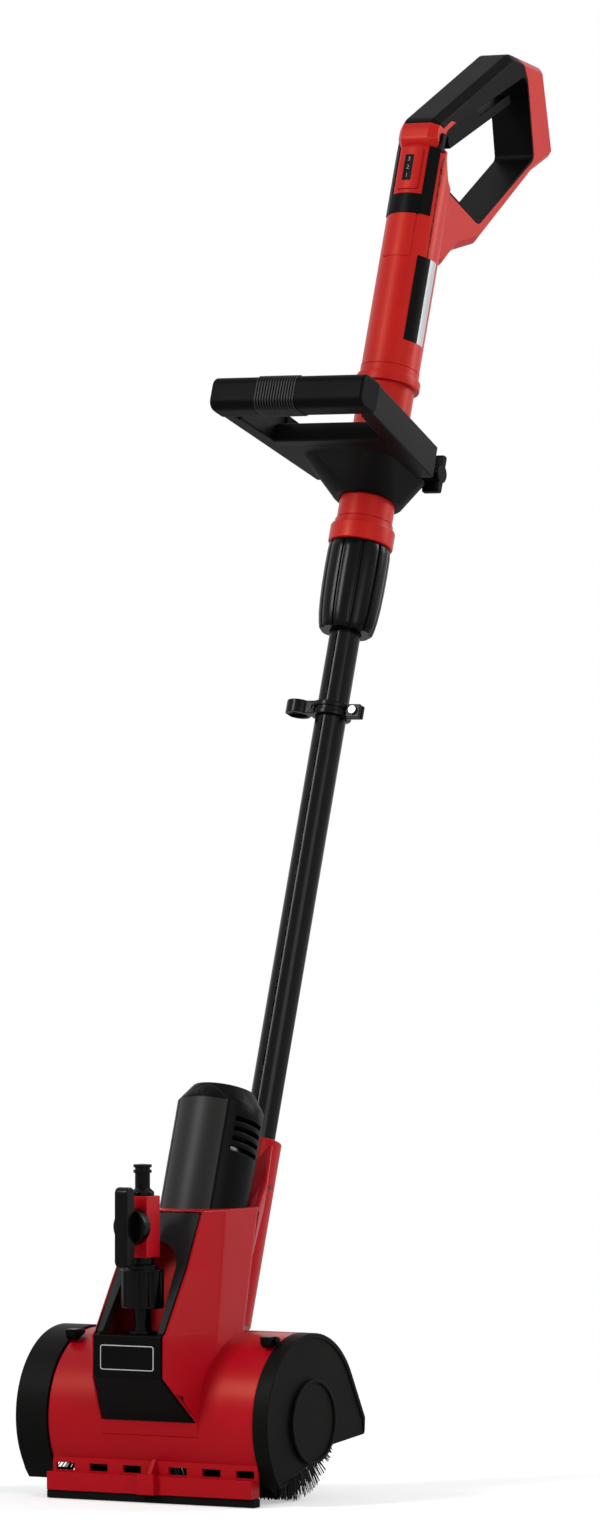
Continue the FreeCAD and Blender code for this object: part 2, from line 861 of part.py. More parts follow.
def make_front_housing():
    """Deck and tower in one moulding."""
    outer = tower_loft(0, tower_base_z, tower_top_z)
    inner = tower_loft(tower_wall, tower_base_z + tower_wall, tower_top_z - tower_wall)
    chamber = deck_chamber(deck_radius - deck_wall, -deck_half_width - cut_over, deck_half_width + cut_over)
    tower = outer.cut(inner)
    sides = tower_sides(0).cut(tower_sides(tower_wall)).cut(bib_space()).cut(inner)
    arms = on_pole(make_arms()).cut(inner)
    housing = fused([tower, sides, arms, make_deck_shell()])
    housing = housing.cut(chamber)
    housing = housing.cut(on_pole(post(cover_radius + slide_gap, motor_b, cover_bottom_a - cut_over,
                                       cover_top_a)))
    housing = housing.cut(on_pole(gearbox_space(slide_gap)))
    housing = housing.cut(on_pole(post(socket_radius + seat_gap, 0, socket_bottom_a - cut_over,
                                       socket_top_a + cut_over)))
    housing = housing.cut(on_pole(block(-socket_web_half_width - seat_gap, socket_web_half_width + seat_gap,
                                        tower_rear_b, 0, socket_bottom_a, arm_front_high_a + seat_gap)))
    housing = housing.cut(on_pole(post(pole_radius + pole_wall, 0, pole_bottom_a - cut_over, socket_top_a)))
    nozzle = rod(inlet_radius + seat_gap, vec(0, water_y, nozzle_z), vec(0, brush_axis_y, nozzle_z))
    return housing.cut(nozzle)


def make_gearbox(side):
    """One half of the gearbox leg; side is -1 on the left and 1 on the right."""
    body = gearbox_space(0)
    cavity = capsule(axle_b, axle_a, leg_low_radius - leg_rim_wall, motor_b, layshaft_a,
                     leg_high_radius - leg_rim_wall, -leg_half_width + leg_side_wall,
                     leg_half_width - leg_side_wall)
    body = body.cut(cavity)
    seat = leg_half_width - leg_side_wall
    for radius, bearing, b, a in ((axle_journal_radius, axle_bearing_radius, axle_b, axle_a),
                                  (shaft_radius, shaft_bearing_radius, motor_b, layshaft_a)):
        body = body.cut(cross_rod(bearing, b, a, -seat - bearing_width, seat + bearing_width))
        if radius == axle_journal_radius:
            through = radius + bearing_clearance
            body = body.cut(cross_rod(through, b, a, -leg_half_width - cut_over, leg_half_width + cut_over))
    throat_radius = shaft_radius + bearing_clearance
    body = body.cut(post(throat_radius, motor_b, layshaft_a, layshaft_a + neck_end + cut_over))
    body = body.cut(post(bevel_wheel_heel + bevel_module + cavity_gap, motor_b, layshaft_a,
                         layshaft_a + bevel_pinion_heel + cavity_gap))
    body = body.cut(post(shaft_bearing_radius, motor_b, layshaft_a + neck_bearing_start,
                         layshaft_a + neck_bearing_start + bearing_width))
    reach = gear_reach + leg_low_radius
    x0, x1 = (-leg_half_width - cut_over, 0) if side < 0 else (0, leg_half_width + cut_over)
    return body.common(block(x0, x1, motor_b - reach, motor_b + reach, axle_a - reach, layshaft_a + reach))


def bearing(inner, outer, start, end):
    return rod(outer, start, end).cut(rod(inner, start, end))


def make_gearbox_bearings():
    seat = leg_half_width - leg_side_wall
    rings = []
    for side in (-1, 1):
        for inner, outer, b, a in ((axle_journal_radius, axle_bearing_radius, axle_b, axle_a),
                                   (shaft_radius, shaft_bearing_radius, motor_b, layshaft_a)):
            rings.append(bearing(inner + fit_gap, outer - seat_gap, vec(side * seat, b, a),
                                 vec(side * (seat + bearing_width), b, a)))
    return Part.makeCompound(rings)


def make_motor_bearings():
    low = layshaft_a + neck_bearing_start
    high = motor_can_end_a - motor_end_wall
    start = motor_can_start_a
    rings = [bearing(shaft_radius + fit_gap, shaft_bearing_radius - seat_gap, vec(0, motor_b, a0),
                     vec(0, motor_b, a0 + bearing_width)) for a0 in (low, start, high)]
    return Part.makeCompound(rings)


def hex_bar(across, b, a, x0, x1):
    corner = across / 2 / math.cos(math.pi / 6)
    points = []
    for index in range(6):
        angle = index * math.pi / 3
        points.append((b + corner * math.cos(angle), a + corner * math.sin(angle)))
    return plate(points, x0, x1)


def make_axle():
    journal = leg_half_width + brush_side_gap / 2
    middle = cross_rod(axle_journal_radius, axle_b, axle_a, -journal, journal)
    hexes = hex_bar(hex_across, axle_b, axle_a, -bristle_end, bristle_end)
    ends = cross_rod(hex_across / 2 - fit_gap, axle_b, axle_a, -axle_end, axle_end)
    return fused([middle, hexes, ends])


def make_brush_hub(side):
    inner = leg_half_width + brush_side_gap
    x0, x1 = sorted((side * inner, side * bristle_end))
    hub = cross_rod(hub_radius, axle_b, axle_a, x0, x1)
    return hub.cut(hex_bar(hex_across, axle_b, axle_a, x0 - cut_over, x1 + cut_over))


def make_bristles():
    """Rows of tufts on a thin band, twisted a little from row to row, for the right half."""
    inner = leg_half_width + brush_side_gap
    length = bristle_end - inner
    band = cross_rod(hub_radius + band_wall, axle_b, axle_a, inner, bristle_end)
    tufts = []
    for row in range(tuft_rows):
        x = inner + tuft_tip_radius + (length - 2 * tuft_tip_radius) * row / (tuft_rows - 1)
        for index in range(tufts_around):
            angle = math.radians(full_turn * index / tufts_around + tuft_twist * row)
            way = vec(0, math.cos(angle), math.sin(angle))
            start = vec(x, axle_b, axle_a) + way * hub_radius
            reach = brush_radius - hub_radius - tuft_tip_gap
            tufts.append(Part.makeCone(tuft_root_radius, tuft_tip_radius, reach, start, way))
    solid = band.multiFuse(tufts)
    return solid.cut(cross_rod(hub_radius, axle_b, axle_a, inner - cut_over, bristle_end + cut_over))


def make_brush_clips():
    rings = []
    for side in (-1, 1):
        rings.append(bearing(hex_across / 2 - fit_gap, clip_radius, vec(side * bristle_end, axle_b, axle_a),
                             vec(side * (bristle_end + clip_width), axle_b, axle_a)))
    return Part.makeCompound(rings)


def make_axle_gear():
    x0 = -gear_offset - gear_face / 2
    gear = cross_gear(gear_teeth, gear_module, mesh_angle + math.pi / gear_teeth, axle_b, axle_a,
                      x0, x0 + gear_face)
    return gear.cut(cross_rod(axle_journal_radius, axle_b, axle_a, x0 - cut_over, x0 + gear_face + cut_over))


def make_spur_pinion():
    x0 = -gear_offset - gear_face / 2
    gear = cross_gear(pinion_teeth, gear_module, mesh_angle + math.pi, motor_b, layshaft_a, x0,
                      x0 + gear_face)
    return gear.cut(cross_rod(shaft_radius, motor_b, layshaft_a, x0 - cut_over, x0 + gear_face + cut_over))


def make_layshaft():
    seat = leg_half_width - leg_side_wall + bearing_width
    return cross_rod(shaft_radius, motor_b, layshaft_a, -seat, seat)


def make_bevel_wheel():
    """Teeth face the middle; a gap points up at the pinion."""
    turn = math.pi / bevel_wheel_teeth
    heel = bevel_wire(bevel_wheel_teeth, turn, 1)
    toe = bevel_wire(bevel_wheel_teeth, turn, bevel_toe_share)
    heel.translate(vec(0, 0, bevel_wheel_heel))
    toe.translate(vec(0, 0, bevel_wheel_heel * bevel_toe_share))
    wheel = Part.makeLoft([toe, heel], True, True)
    hub_end = leg_half_width - leg_side_wall - bearing_clearance
    hub = Part.makeCylinder(bevel_hub_radius, hub_end - bevel_wheel_heel, vec(0, 0, bevel_wheel_heel))
    wheel = fused([wheel, hub])
    wheel.rotate(vec(0, 0, 0), back, quarter_turn)
    wheel.translate(vec(0, motor_b, layshaft_a))
    return wheel.cut(cross_rod(shaft_radius, motor_b, layshaft_a, -leg_half_width, leg_half_width))


def make_bevel_pinion():
    heel = bevel_wire(bevel_pinion_teeth, 0, 1)
    toe = bevel_wire(bevel_pinion_teeth, 0, bevel_toe_share)
    heel.translate(vec(0, motor_b, layshaft_a + bevel_pinion_heel))
    toe.translate(vec(0, motor_b, layshaft_a + bevel_pinion_heel * bevel_toe_share))
    pinion = Part.makeLoft([toe, heel], True, True)
    return pinion.cut(post(shaft_radius, motor_b, layshaft_a, layshaft_a + bevel_pinion_heel + cut_over))


def make_motor_shaft():
    return post(shaft_radius, motor_b, layshaft_a + bevel_pinion_heel * bevel_toe_share,
                fan_start_a + fan_height)


def make_motor_can():
    inner = motor_can_radius - motor_can_wall
    can = post(motor_can_radius, motor_b, motor_can_start_a, motor_can_end_a)
    can = can.cut(post(inner, motor_b, motor_can_start_a + motor_end_wall, motor_can_end_a - motor_end_wall))
    can = can.cut(post(shaft_radius + bearing_clearance, motor_b, motor_can_start_a - cut_over,
                       motor_can_end_a + cut_over))
    for a0 in (motor_can_start_a, motor_can_end_a - motor_end_wall):
        can = can.cut(post(shaft_bearing_radius, motor_b, a0, a0 + bearing_width))
    return can


def make_magnets():
    middle = (motor_can_start_a + motor_can_end_a) / 2
    low = middle - magnet_length / 2
    ring = post(motor_can_radius - motor_can_wall, motor_b, low, low + magnet_length)
    ring = ring.cut(post(magnet_radius, motor_b, low - cut_over, low + magnet_length + cut_over))
    gap = motor_can_radius * math.cos(math.radians(magnet_half_angle))
    slot = block(-motor_can_radius, motor_can_radius, motor_b - gap, motor_b + gap, low - cut_over,
                 low + magnet_length + cut_over)
    slot.rotate(vec(0, motor_b, 0), up, quarter_turn)
    return ring.cut(slot)


def make_rotor():
    middle = (motor_can_start_a + motor_can_end_a) / 2
    core = post(rotor_radius, motor_b, middle - rotor_length / 2, middle + rotor_length / 2)
    return core.cut(post(shaft_radius, motor_b, motor_can_start_a, motor_can_end_a))


def make_fan():
    disc = post(fan_radius, motor_b, fan_start_a, fan_start_a + fan_plate)
    hub = post(fan_hub_radius, motor_b, fan_start_a, fan_start_a + fan_height)
    pieces = [disc, hub]
    for index in range(fan_blades):
        blade = block(fan_hub_radius - fan_plate, fan_radius - fan_plate, motor_b - fan_blade_wall / 2,
                      motor_b + fan_blade_wall / 2, fan_start_a, fan_start_a + fan_height)
        blade.rotate(vec(0, motor_b, 0), up, full_turn * index / fan_blades)
        pieces.append(blade)
    return fused(pieces).cut(post(shaft_radius, motor_b, fan_start_a - cut_over,
                                  fan_start_a + fan_height + cut_over))


def make_motor_cover(front):
    """Front or rear shell of the black motor housing."""
    outer = turned([(0, cover_bottom_a), (cover_radius, cover_bottom_a), (cover_radius, cover_shoulder_a),
                    (cover_top_radius, cover_top_a), (0, cover_top_a)], vec(0, motor_b, 0), up)
    inner = turned([(0, cover_bottom_a - cut_over), (cover_radius - cover_wall, cover_bottom_a - cut_over),
                    (cover_radius - cover_wall, cover_shoulder_a - cover_wall),
                    (cover_top_radius - cover_wall, cover_top_a - cover_wall), (0, cover_top_a - cover_wall)],
                   vec(0, motor_b, 0), up)
    shell = outer.cut(inner)
    ribs = []
    for a0 in (motor_can_start_a + motor_end_wall, motor_can_end_a - motor_end_wall - cover_rib_width):
        ribs.append(bearing(motor_can_radius + seat_gap, cover_radius - cover_wall / 2, vec(0, motor_b, a0),
                            vec(0, motor_b, a0 + cover_rib_width)))
    shell = fused([shell] + ribs)
    for side in (-1, 1):
        for index in range(vent_count):
            low = vent_first_a + index * vent_pitch
            x0, x1 = sorted((side * cover_radius, side * (cover_radius - vent_depth)))
            vent_b = motor_b + vent_start
            shell = shell.cut(block(x0, x1, vent_b, vent_b + vent_length, low, low + vent_height))
    split = motor_b + cover_split
    if front:
        half = block(-cover_radius, cover_radius, motor_b - cover_radius, split, cover_bottom_a, cover_top_a)
    else:
        half = block(-cover_radius, cover_radius, split + cover_seam_gap, motor_b + cover_radius,
                     cover_bottom_a, cover_top_a)
    return shell.common(half)


def make_pole():
    tube = post(pole_radius, 0, pole_bottom_a, pole_top_a)
    return tube.cut(post(pole_radius - pole_wall, 0, pole_bottom_a - cut_over, pole_top_a + cut_over))


def make_pole_bush():
    """Ring on the pole's upper end that guides it in the handle tube."""
    low = pole_top_a - pole_bush_length
    return bearing(pole_radius, tube_bore - running_gap, vec(0, 0, low), vec(0, 0, pole_top_a))


def frame_opening(grow):
    """The arch through the black frame, which the water connection passes."""
    radius = arch_radius + grow
    low_half = radius + arch_flare
    low_z = plate_top_z
    reach = -2 * plate_front_y
    corners = [vec(-low_half, -reach, low_z), vec(low_half, -reach, low_z), vec(radius, -reach, arch_z),
               vec(-radius, -reach, arch_z)]
    legs = Part.Face(Part.makePolygon(corners + corners[:1])).extrude(vec(0, 2 * reach, 0))
    return fused([legs, rod(radius, vec(0, -reach, arch_z), vec(0, reach, arch_z))])


def make_bib():
    """Arched frame, plate and skirt in one black moulding."""
    ahead = frame_band(0, frame_top_z, frame_outer_x)
    panel = frame_band(frame_wall, frame_top_z, frame_outer_x).cut(ahead)
    deep = frame_band(arch_rim_depth, frame_top_z, frame_outer_x).cut(ahead)
    rim = deep.common(frame_opening(arch_rim))
    panel = fused([panel, rim]).cut(frame_opening(0))
    upper = block(-frame_outer_x, frame_outer_x, plate_front_y, skirt_back_y, plate_fold_z, plate_top_z)
    inner_top = block(-frame_outer_x + frame_wall, frame_outer_x - frame_wall, plate_front_y + frame_wall,
                      skirt_back_y, plate_fold_z - cut_over, plate_top_z - frame_wall)
    skirts = []
    for inset in (0, frame_wall):
        high = level_wire(frame_outer_x - inset, plate_front_y + inset, skirt_back_y, plate_fold_z,
                          bib_corner)
        low = level_wire(skirt_half_width - inset, skirt_front_y + inset, skirt_back_y, skirt_bottom_z,
                         bib_corner)
        skirts.append(Part.makeLoft([high, low], True, True))
    skirt, inner_skirt = skirts
    body = fused([upper, skirt]).cut(inner_top).cut(inner_skirt)
    body = fused([body, panel])
    body = body.cut(tower_loft(-seat_gap, tower_base_z, tower_top_z))
    body = body.cut(deck_chamber(deck_radius + seat_gap, -deck_half_width, deck_half_width))
    return body.cut(post(inlet_radius + seat_gap, water_y, inlet_bottom_z - cut_over, plate_top_z + cut_over))


def around_brush(radius, angle):
    return vec(0, brush_axis_y + radius * math.cos(angle), brush_axis_z + radius * math.sin(angle))


def hood_points(radius, inset):
    """Circle about the brush, a straight rear slope and the rising lower edge."""
    span = math.hypot(hood_rear_y - brush_axis_y, hood_rear_z - brush_axis_z)
    slope = math.acos(hood_radius / span) + math.atan2(hood_rear_z - brush_axis_z, hood_rear_y - brush_axis_y)
    touch = around_brush(radius, slope)
    rear = vec(0, hood_rear_y - inset * math.cos(slope), hood_rear_z - inset * math.sin(slope))
    front_angle = math.atan2(hood_edge_shares[0][1], hood_edge_shares[0][0])
    return slope, touch, rear, front_angle


def hood_prism(radius, inset, x0, x1):
    slope, touch, rear, front_angle = hood_points(radius, inset)
    middle_angle = (slope + 2 * math.pi + front_angle) / 2
    start = around_brush(radius, front_angle)
    middle = around_brush(radius, middle_angle)
    lower = [vec(0, brush_axis_y + y * hood_radius, brush_axis_z + z * hood_radius)
             for y, z in hood_edge_shares[1:]]
    edges = [Part.Arc(touch, middle, start).toShape()]
    path = [start] + lower + [rear, touch]
    for first, second in zip(path, path[1:]):
        edges.append(Part.LineSegment(first, second).toShape())
    face = Part.Face(Part.Wire(edges))
    face.translate(vec(x0, 0, 0))
    return face.extrude(vec(x1 - x0, 0, 0))


def latch_pivot():
    return around_brush(hood_radius + ear_height / 2, math.radians(latch_angle))


def make_hood(side, outer_x):
    """A side cover: rim over the brush end, disc, hub and the latch ears."""
    x0, x1 = sorted((side * hood_inner_x, side * outer_x))
    inner0, inner1 = sorted((side * (hood_inner_x - cut_over), side * (outer_x - hood_wall)))
    shell = hood_prism(hood_radius, 0, x0, x1)
    shell = shell.cut(hood_prism(hood_radius - hood_wall, hood_wall, inner0, inner1))
    rim0, rim1 = sorted((side * outer_x, side * (outer_x + hood_rim_height)))
    rim = hood_prism(hood_radius, 0, rim0, rim1)
    rim = rim.cut(hood_prism(hood_radius - hood_rim_width, hood_rim_width, rim0 - cut_over, rim1 + cut_over))
    hub0, hub1 = sorted((side * outer_x, side * (outer_x + hood_hub_height)))
    hub = cross_rod(hood_hub_radius, brush_axis_y, brush_axis_z, hub0, hub1)
    groove = cross_rod(hood_hub_radius - hood_hub_ring, brush_axis_y, brush_axis_z,
                       side * (outer_x + hood_hub_height / 2), side * (outer_x + hood_hub_height + cut_over))
    hub = hub.cut(groove)
    bush_start = bristle_end + clip_width + brush_side_gap
    bush = cross_rod(bush_radius, brush_axis_y, brush_axis_z, side * bush_start,
                     side * (outer_x - hood_wall / 2))
    bush_bore = cross_rod(hex_across / 2, brush_axis_y, brush_axis_z, side * bristle_end,
                          side * (axle_end + brush_side_gap))
    hood = fused([shell, rim, hub, bush]).cut(bush_bore)
    foot = around_brush(hood_radius - hood_wall / 2, math.radians(latch_angle))
    ear0, ear1 = sorted((side * hood_inner_x, side * (hood_inner_x + ear_thickness)))
    ear = block(ear0, ear1, -ear_height / 2, ear_height / 2, 0, ear_height + hood_wall / 2)
    ear.rotate(vec(0, 0, 0), right, latch_angle - quarter_turn)
    ear.translate(foot)
    pivot = latch_pivot()
    pin = cross_rod(latch_pin_radius, pivot.y, pivot.z, side * (hood_inner_x - latch_pin_length),
                    side * (hood_inner_x + ear_thickness / 2))
    return fused([hood, ear, pin])


def make_latch(side):
    """Small hooked lever that turns on the pin of the side cover."""
    pivot = latch_pivot()
    low = -(ear_height / 2 - slide_gap)
    profile = [(-latch_half_length, low), (latch_half_length, low), (latch_half_length, 0),
               (latch_tip / 2, latch_height - latch_tip), (-latch_half_length, latch_height),
               (-latch_half_length - latch_tip / 2, latch_tip / 2)]
    x0, x1 = sorted((side * (hood_inner_x - slide_gap), side * (hood_inner_x - latch_width)))
    lever = plate(profile, x0, x1)
    lever.rotate(vec(0, 0, 0), right, latch_angle - quarter_turn)
    lever.translate(pivot)
    bore = cross_rod(latch_pin_radius + fit_gap, pivot.y, pivot.z, side * (hood_inner_x + cut_over),
                     side * (hood_inner_x - latch_pin_length - slide_gap))
    return lever.cut(bore)


def make_front_strip():
    front_y = bar_front_y + strip_inset
    return block(-strip_half_width, strip_half_width, front_y, front_y + strip_depth, 0, bar_bottom_z)


def make_rear_flap():
    rear = deck_rear_y - deck_wall
    side_gap = hood_wall + slide_gap
    return block(side_gap - left_hood_outer_x, right_hood_outer_x - side_gap, rear - flap_thickness, rear,
                 flap_bottom_z, deck_rear_z - flap_overlap)


def make_water_inlet():
    pipe = post(inlet_radius, water_y, inlet_bottom_z, inlet_flange_z)
    flange = post(inlet_flange_radius, water_y, plate_top_z, plate_top_z + inlet_flange_height)
    spigot = post(spigot_radius, water_y, inlet_flange_z, spigot_top_z)
    inner_radius = deck_radius - deck_wall
    nozzle_end_y = brush_axis_y - math.sqrt(inner_radius ** 2 - (nozzle_z - brush_axis_z) ** 2)
    nozzle = rod(inlet_radius - bearing_clearance, vec(0, water_y, nozzle_z), vec(0, nozzle_end_y, nozzle_z))
    body = fused([pipe, flange, spigot, nozzle])
    body = body.cut(post(inlet_bore, water_y, nozzle_z, spigot_top_z + cut_over))
    return body.cut(rod(inlet_bore, vec(0, water_y, nozzle_z), vec(0, nozzle_end_y + cut_over, nozzle_z)))


def make_coupler_core():
    core = post(coupler_radius, water_y, coupler_bottom_z, coupler_top_z)
    core = core.cut(post(spigot_radius, water_y, coupler_bottom_z - cut_over, spigot_top_z))
    return core.cut(post(water_bore, water_y, spigot_top_z - cut_over, coupler_top_z + cut_over))


def make_collar():
    collar = bearing(coupler_radius + running_gap, collar_radius, vec(0, water_y, collar_bottom_z),
                     vec(0, water_y, collar_top_z))
    for index in range(collar_flutes):
        angle = math.radians(full_turn * index / collar_flutes)
        reach = collar_radius + collar_flute_radius / 2
        flute = post(collar_flute_radius, water_y + reach * math.sin(angle), collar_bottom_z + cut_over,
                     collar_top_z - cut_over, reach * math.cos(angle))
        collar = collar.cut(flute)
    return collar


def make_valve_block():
    body = block(-block_half, block_half, water_y - block_half, water_y + block_half, block_bottom_z,
                 block_top_z)
    neck = post(valve_neck_radius, water_y, coupler_top_z, block_bottom_z)
    body = fused([body, neck])
    body = body.cut(post(water_bore, water_y, coupler_top_z - cut_over, block_top_z + cut_over))
    body = body.cut(Part.makeSphere(ball_radius + running_gap, vec(0, water_y, knob_z)))
    front = vec(0, water_y - block_half - cut_over, knob_z)
    return body.cut(rod(stem_radius + fit_gap, front, vec(0, water_y, knob_z)))


def make_valve_ball():
    """Ball with its bore upright, and the stem that the knob turns."""
    ball = Part.makeSphere(ball_radius, vec(0, water_y, knob_z))
    face = water_y - block_half - knob_gap - knob_disc_depth / 2
    stem = rod(stem_radius, vec(0, water_y, knob_z), vec(0, face, knob_z))
    body = fused([ball, stem])
    half = ball_radius + cut_over
    return body.cut(post(water_bore, water_y, knob_z - half, knob_z + half))


def make_valve_knob():
    face = water_y - block_half - knob_gap
    disc = rod(knob_disc_radius, vec(0, face, knob_z), vec(0, face - knob_disc_depth, knob_z))
    bar_back = face - knob_disc_depth
    half = knob_bar_length / 2
    bar = plate([(bar_back, knob_z - half, knob_bar_corner), (bar_back, knob_z + half, knob_bar_corner),
                 (bar_back - knob_bar_depth, knob_z + half, knob_bar_corner),
                 (bar_back - knob_bar_depth, knob_z - half, knob_bar_corner)],
                -knob_bar_width / 2, knob_bar_width / 2)
    knob = fused([disc, bar])
    return knob.cut(rod(stem_radius, vec(0, face + cut_over, knob_z),
                        vec(0, face - knob_disc_depth / 2, knob_z)))


def make_hose_nipple():
    """Pipe end for the hose, with a shoulder, a neck and two rings at its top."""
    shoulder_top = block_top_z + nipple_shoulder_height
    neck_start = shoulder_top + nipple_cone_height
    profile = [(water_bore, block_top_z), (nipple_shoulder_radius, block_top_z),
               (nipple_shoulder_radius, shoulder_top), (nipple_neck_radius, neck_start)]
    for index in reversed(range(nipple_rings)):
        high = nipple_top_z - index * nipple_ring_pitch
        low = high - nipple_ring_height
        profile += [(nipple_neck_radius, low), (nipple_radius, low), (nipple_radius, high)]
        if index > 0:
            profile.append((nipple_neck_radius, high))
    profile.append((water_bore, nipple_top_z))
    return turned(profile, vec(0, water_y, 0), up)


def make_hose_clip():
    low = clip_a - clip_height / 2
    high = clip_a + clip_height / 2
    ring = post(clip_ring_radius, 0, low, high)
    hose_ring = post(hose_ring_radius, hose_ring_b, low, high, hose_ring_x)
    lug = block(pole_radius, clip_lug_x, -clip_lug_depth / 2, clip_lug_depth / 2, low, high)
    bridge = block(hose_ring_x, 0, hose_ring_b - clip_bridge / 2, hose_ring_b + clip_bridge / 2, low, high)
    body = fused([ring, hose_ring, lug, bridge])
    groove = bearing(clip_ring_radius - clip_groove, clip_ring_radius + clip_groove,
                     vec(0, 0, clip_a - clip_groove_height / 2), vec(0, 0, clip_a + clip_groove_height / 2))
    body = body.cut(groove.cut(post(hose_ring_radius, hose_ring_b, low, high, hose_ring_x)).cut(lug))
    body = body.cut(post(pole_radius + running_gap, 0, low - cut_over, high + cut_over))
    body = body.cut(post(hose_bore, hose_ring_b, low - cut_over, high + cut_over, hose_ring_x))
    mouth = block(hose_ring_x - hose_ring_radius - cut_over, hose_ring_x, hose_ring_b - hose_mouth / 2,
                  hose_ring_b + hose_mouth / 2, low - cut_over, high + cut_over)
    slit = block(pole_radius, clip_lug_x + cut_over, -clip_lug_slit / 2, clip_lug_slit / 2, low - cut_over,
                 high + cut_over)
    body = body.cut(mouth).cut(slit)
    middle_x = (clip_ring_radius + clip_lug_x) / 2
    return body.cut(rod(clip_screw_radius, vec(middle_x, -clip_lug_depth, clip_a),
                        vec(middle_x, clip_lug_depth, clip_a)))


def make_clip_screw():
    middle_x = (clip_ring_radius + clip_lug_x) / 2
    half = clip_lug_depth / 2
    shank = rod(clip_screw_radius, vec(middle_x, -half, clip_a), vec(middle_x, half, clip_a))
    head = rod(clip_screw_head, vec(middle_x, -half - clip_screw_head_height, clip_a),
               vec(middle_x, -half, clip_a))
    return fused([shank, head])


def make_twist_sleeve():
    """Fluted locking sleeve, wider at the top, with a cone inside for the collet."""
    inner_top = spigot_tube_radius + running_gap
    cone_low = collet_bottom_radius + running_gap
    cone_high = collet_top_radius + running_gap
    mouth_a = sleeve_bottom_a + sleeve_mouth_height
    mouth_radius = pole_radius + sleeve_mouth_gap
    profile = [(mouth_radius, sleeve_bottom_a), (sleeve_bottom_radius, sleeve_bottom_a),
               (sleeve_top_radius, sleeve_top_a - slide_gap), (inner_top, sleeve_top_a - slide_gap),
               (inner_top, spigot_bottom_a - slide_gap), (cone_high, spigot_bottom_a - slide_gap),
               (cone_low, mouth_a), (mouth_radius, mouth_a)]
    sleeve = turned(profile, vec(0, 0, 0), up)
    for index in range(sleeve_flutes):
        angle = full_turn * index / sleeve_flutes
        low = vec(sleeve_bottom_radius + sleeve_flute_radius / 2, 0, sleeve_bottom_a + sleeve_flute_margin)
        high = vec(sleeve_top_radius + sleeve_flute_radius / 2, 0, sleeve_top_a - sleeve_flute_margin / 2)
        flute = rod(sleeve_flute_radius, low, high)
        flute.rotate(vec(0, 0, 0), up, angle)
        sleeve = sleeve.cut(flute)
    return sleeve


def make_collet():
    """Split cone that the sleeve squeezes on to the pole."""
    profile = [(collet_inner, collet_bottom_a), (collet_bottom_radius, collet_bottom_a),
               (collet_top_radius, spigot_bottom_a), (collet_inner, spigot_bottom_a)]
    collet = turned(profile, vec(0, 0, 0), up)
    slit_top = collet_bottom_a + collet_slit_share * (spigot_bottom_a - collet_bottom_a)
    for index in range(collet_slits):
        slit = block(0, collet_top_radius + cut_over, -collet_slit_width / 2, collet_slit_width / 2,
                     collet_bottom_a - cut_over, slit_top)
        slit.rotate(vec(0, 0, 0), up, full_turn * index / collet_slits)
        collet = collet.cut(slit)
    return collet


def make_grip_tube():
    """Red tube between the two rings, with the spigot for the twist sleeve."""
    profile = [(spigot_bore, spigot_bottom_a), (spigot_tube_radius, spigot_bottom_a),
               (spigot_tube_radius, sleeve_top_a), (low_ring_radius, sleeve_top_a),
               (low_ring_radius, low_ring_top_a), (grip_tube_radius, low_ring_top_a),
               (grip_tube_radius, top_ring_bottom_a), (low_ring_radius, top_ring_bottom_a),
               (low_ring_radius, housing_bottom_a), (tube_bore, housing_bottom_a),
               (tube_bore, low_ring_top_a), (spigot_bore, low_ring_top_a)]
    return turned(profile, vec(0, 0, 0), up)


def loop_corners(shares):
    """Give a table of shares as (b, a, radius) corners of the rear handle."""
    return [(loop_start_b + b * loop_depth, loop_start_a + a * loop_length, radius * loop_depth)
            for a, b, radius in shares]


def loop_point(a_share, b_share):
    return (loop_start_b + b_share * loop_depth, loop_start_a + a_share * loop_length)


def foot_frame():
    """Upper end, downward direction, outward direction and length of the battery face."""
    ends = [loop_point(*shares[:2]) for shares in (foot_high_shares, foot_low_shares)]
    start = vec(0, ends[0][0], ends[0][1])
    along = vec(0, ends[1][0], ends[1][1]) - start
    length = along.Length
    along.normalize()
    outward = vec(0, -along.z, along.y)
    if outward.y < 0:
        outward = outward * -1
    return start, along, outward, length


def foot_block(x0, x1, low_share, high_share, depth, proud):
    """A block on the battery face, from depth inside it to proud outside it."""
    start, along, outward, length = foot_frame()
    first = start + along * (length * low_share)
    second = start + along * (length * high_share)
    corners = [first + outward * proud, second + outward * proud, second - outward * depth,
               first - outward * depth]
    return plate([(corner.y, corner.z) for corner in corners], x0, x1)


def slab(shares, half_width, edge):
    """An outline of the rear handle with its outer edges bevelled."""
    solid = plate(loop_corners(shares), -half_width, half_width)
    sharp = []
    for line in solid.Edges:
        if all(abs(abs(vertex.Point.x) - half_width) < seat_gap for vertex in line.Vertexes):
            sharp.append(line)
    return solid.makeChamfer(edge, sharp)


def opening_prism(grow, half_width):
    """The hand opening of the rear handle, grown by grow."""
    wire = rounded_wire(loop_corners(loop_opening_shares))
    if grow > 0:
        wire = wire.makeOffset2D(grow)
    face = Part.Face(wire)
    face.translate(vec(-half_width, 0, 0))
    return face.extrude(vec(2 * half_width, 0, 0))


def make_handle_body():
    """Outside of the rear handle before it is split."""
    loop = slab(loop_outline_shares, loop_half_width, loop_edge_round)
    tube = post(housing_radius, 0, housing_bottom_a, housing_dome_a)
    tube = tube.makeChamfer(loop_edge_round, [line for line in tube.Edges
                                              if abs(line.BoundBox.ZMin - housing_dome_a) < seat_gap])
    return fused([loop, tube])


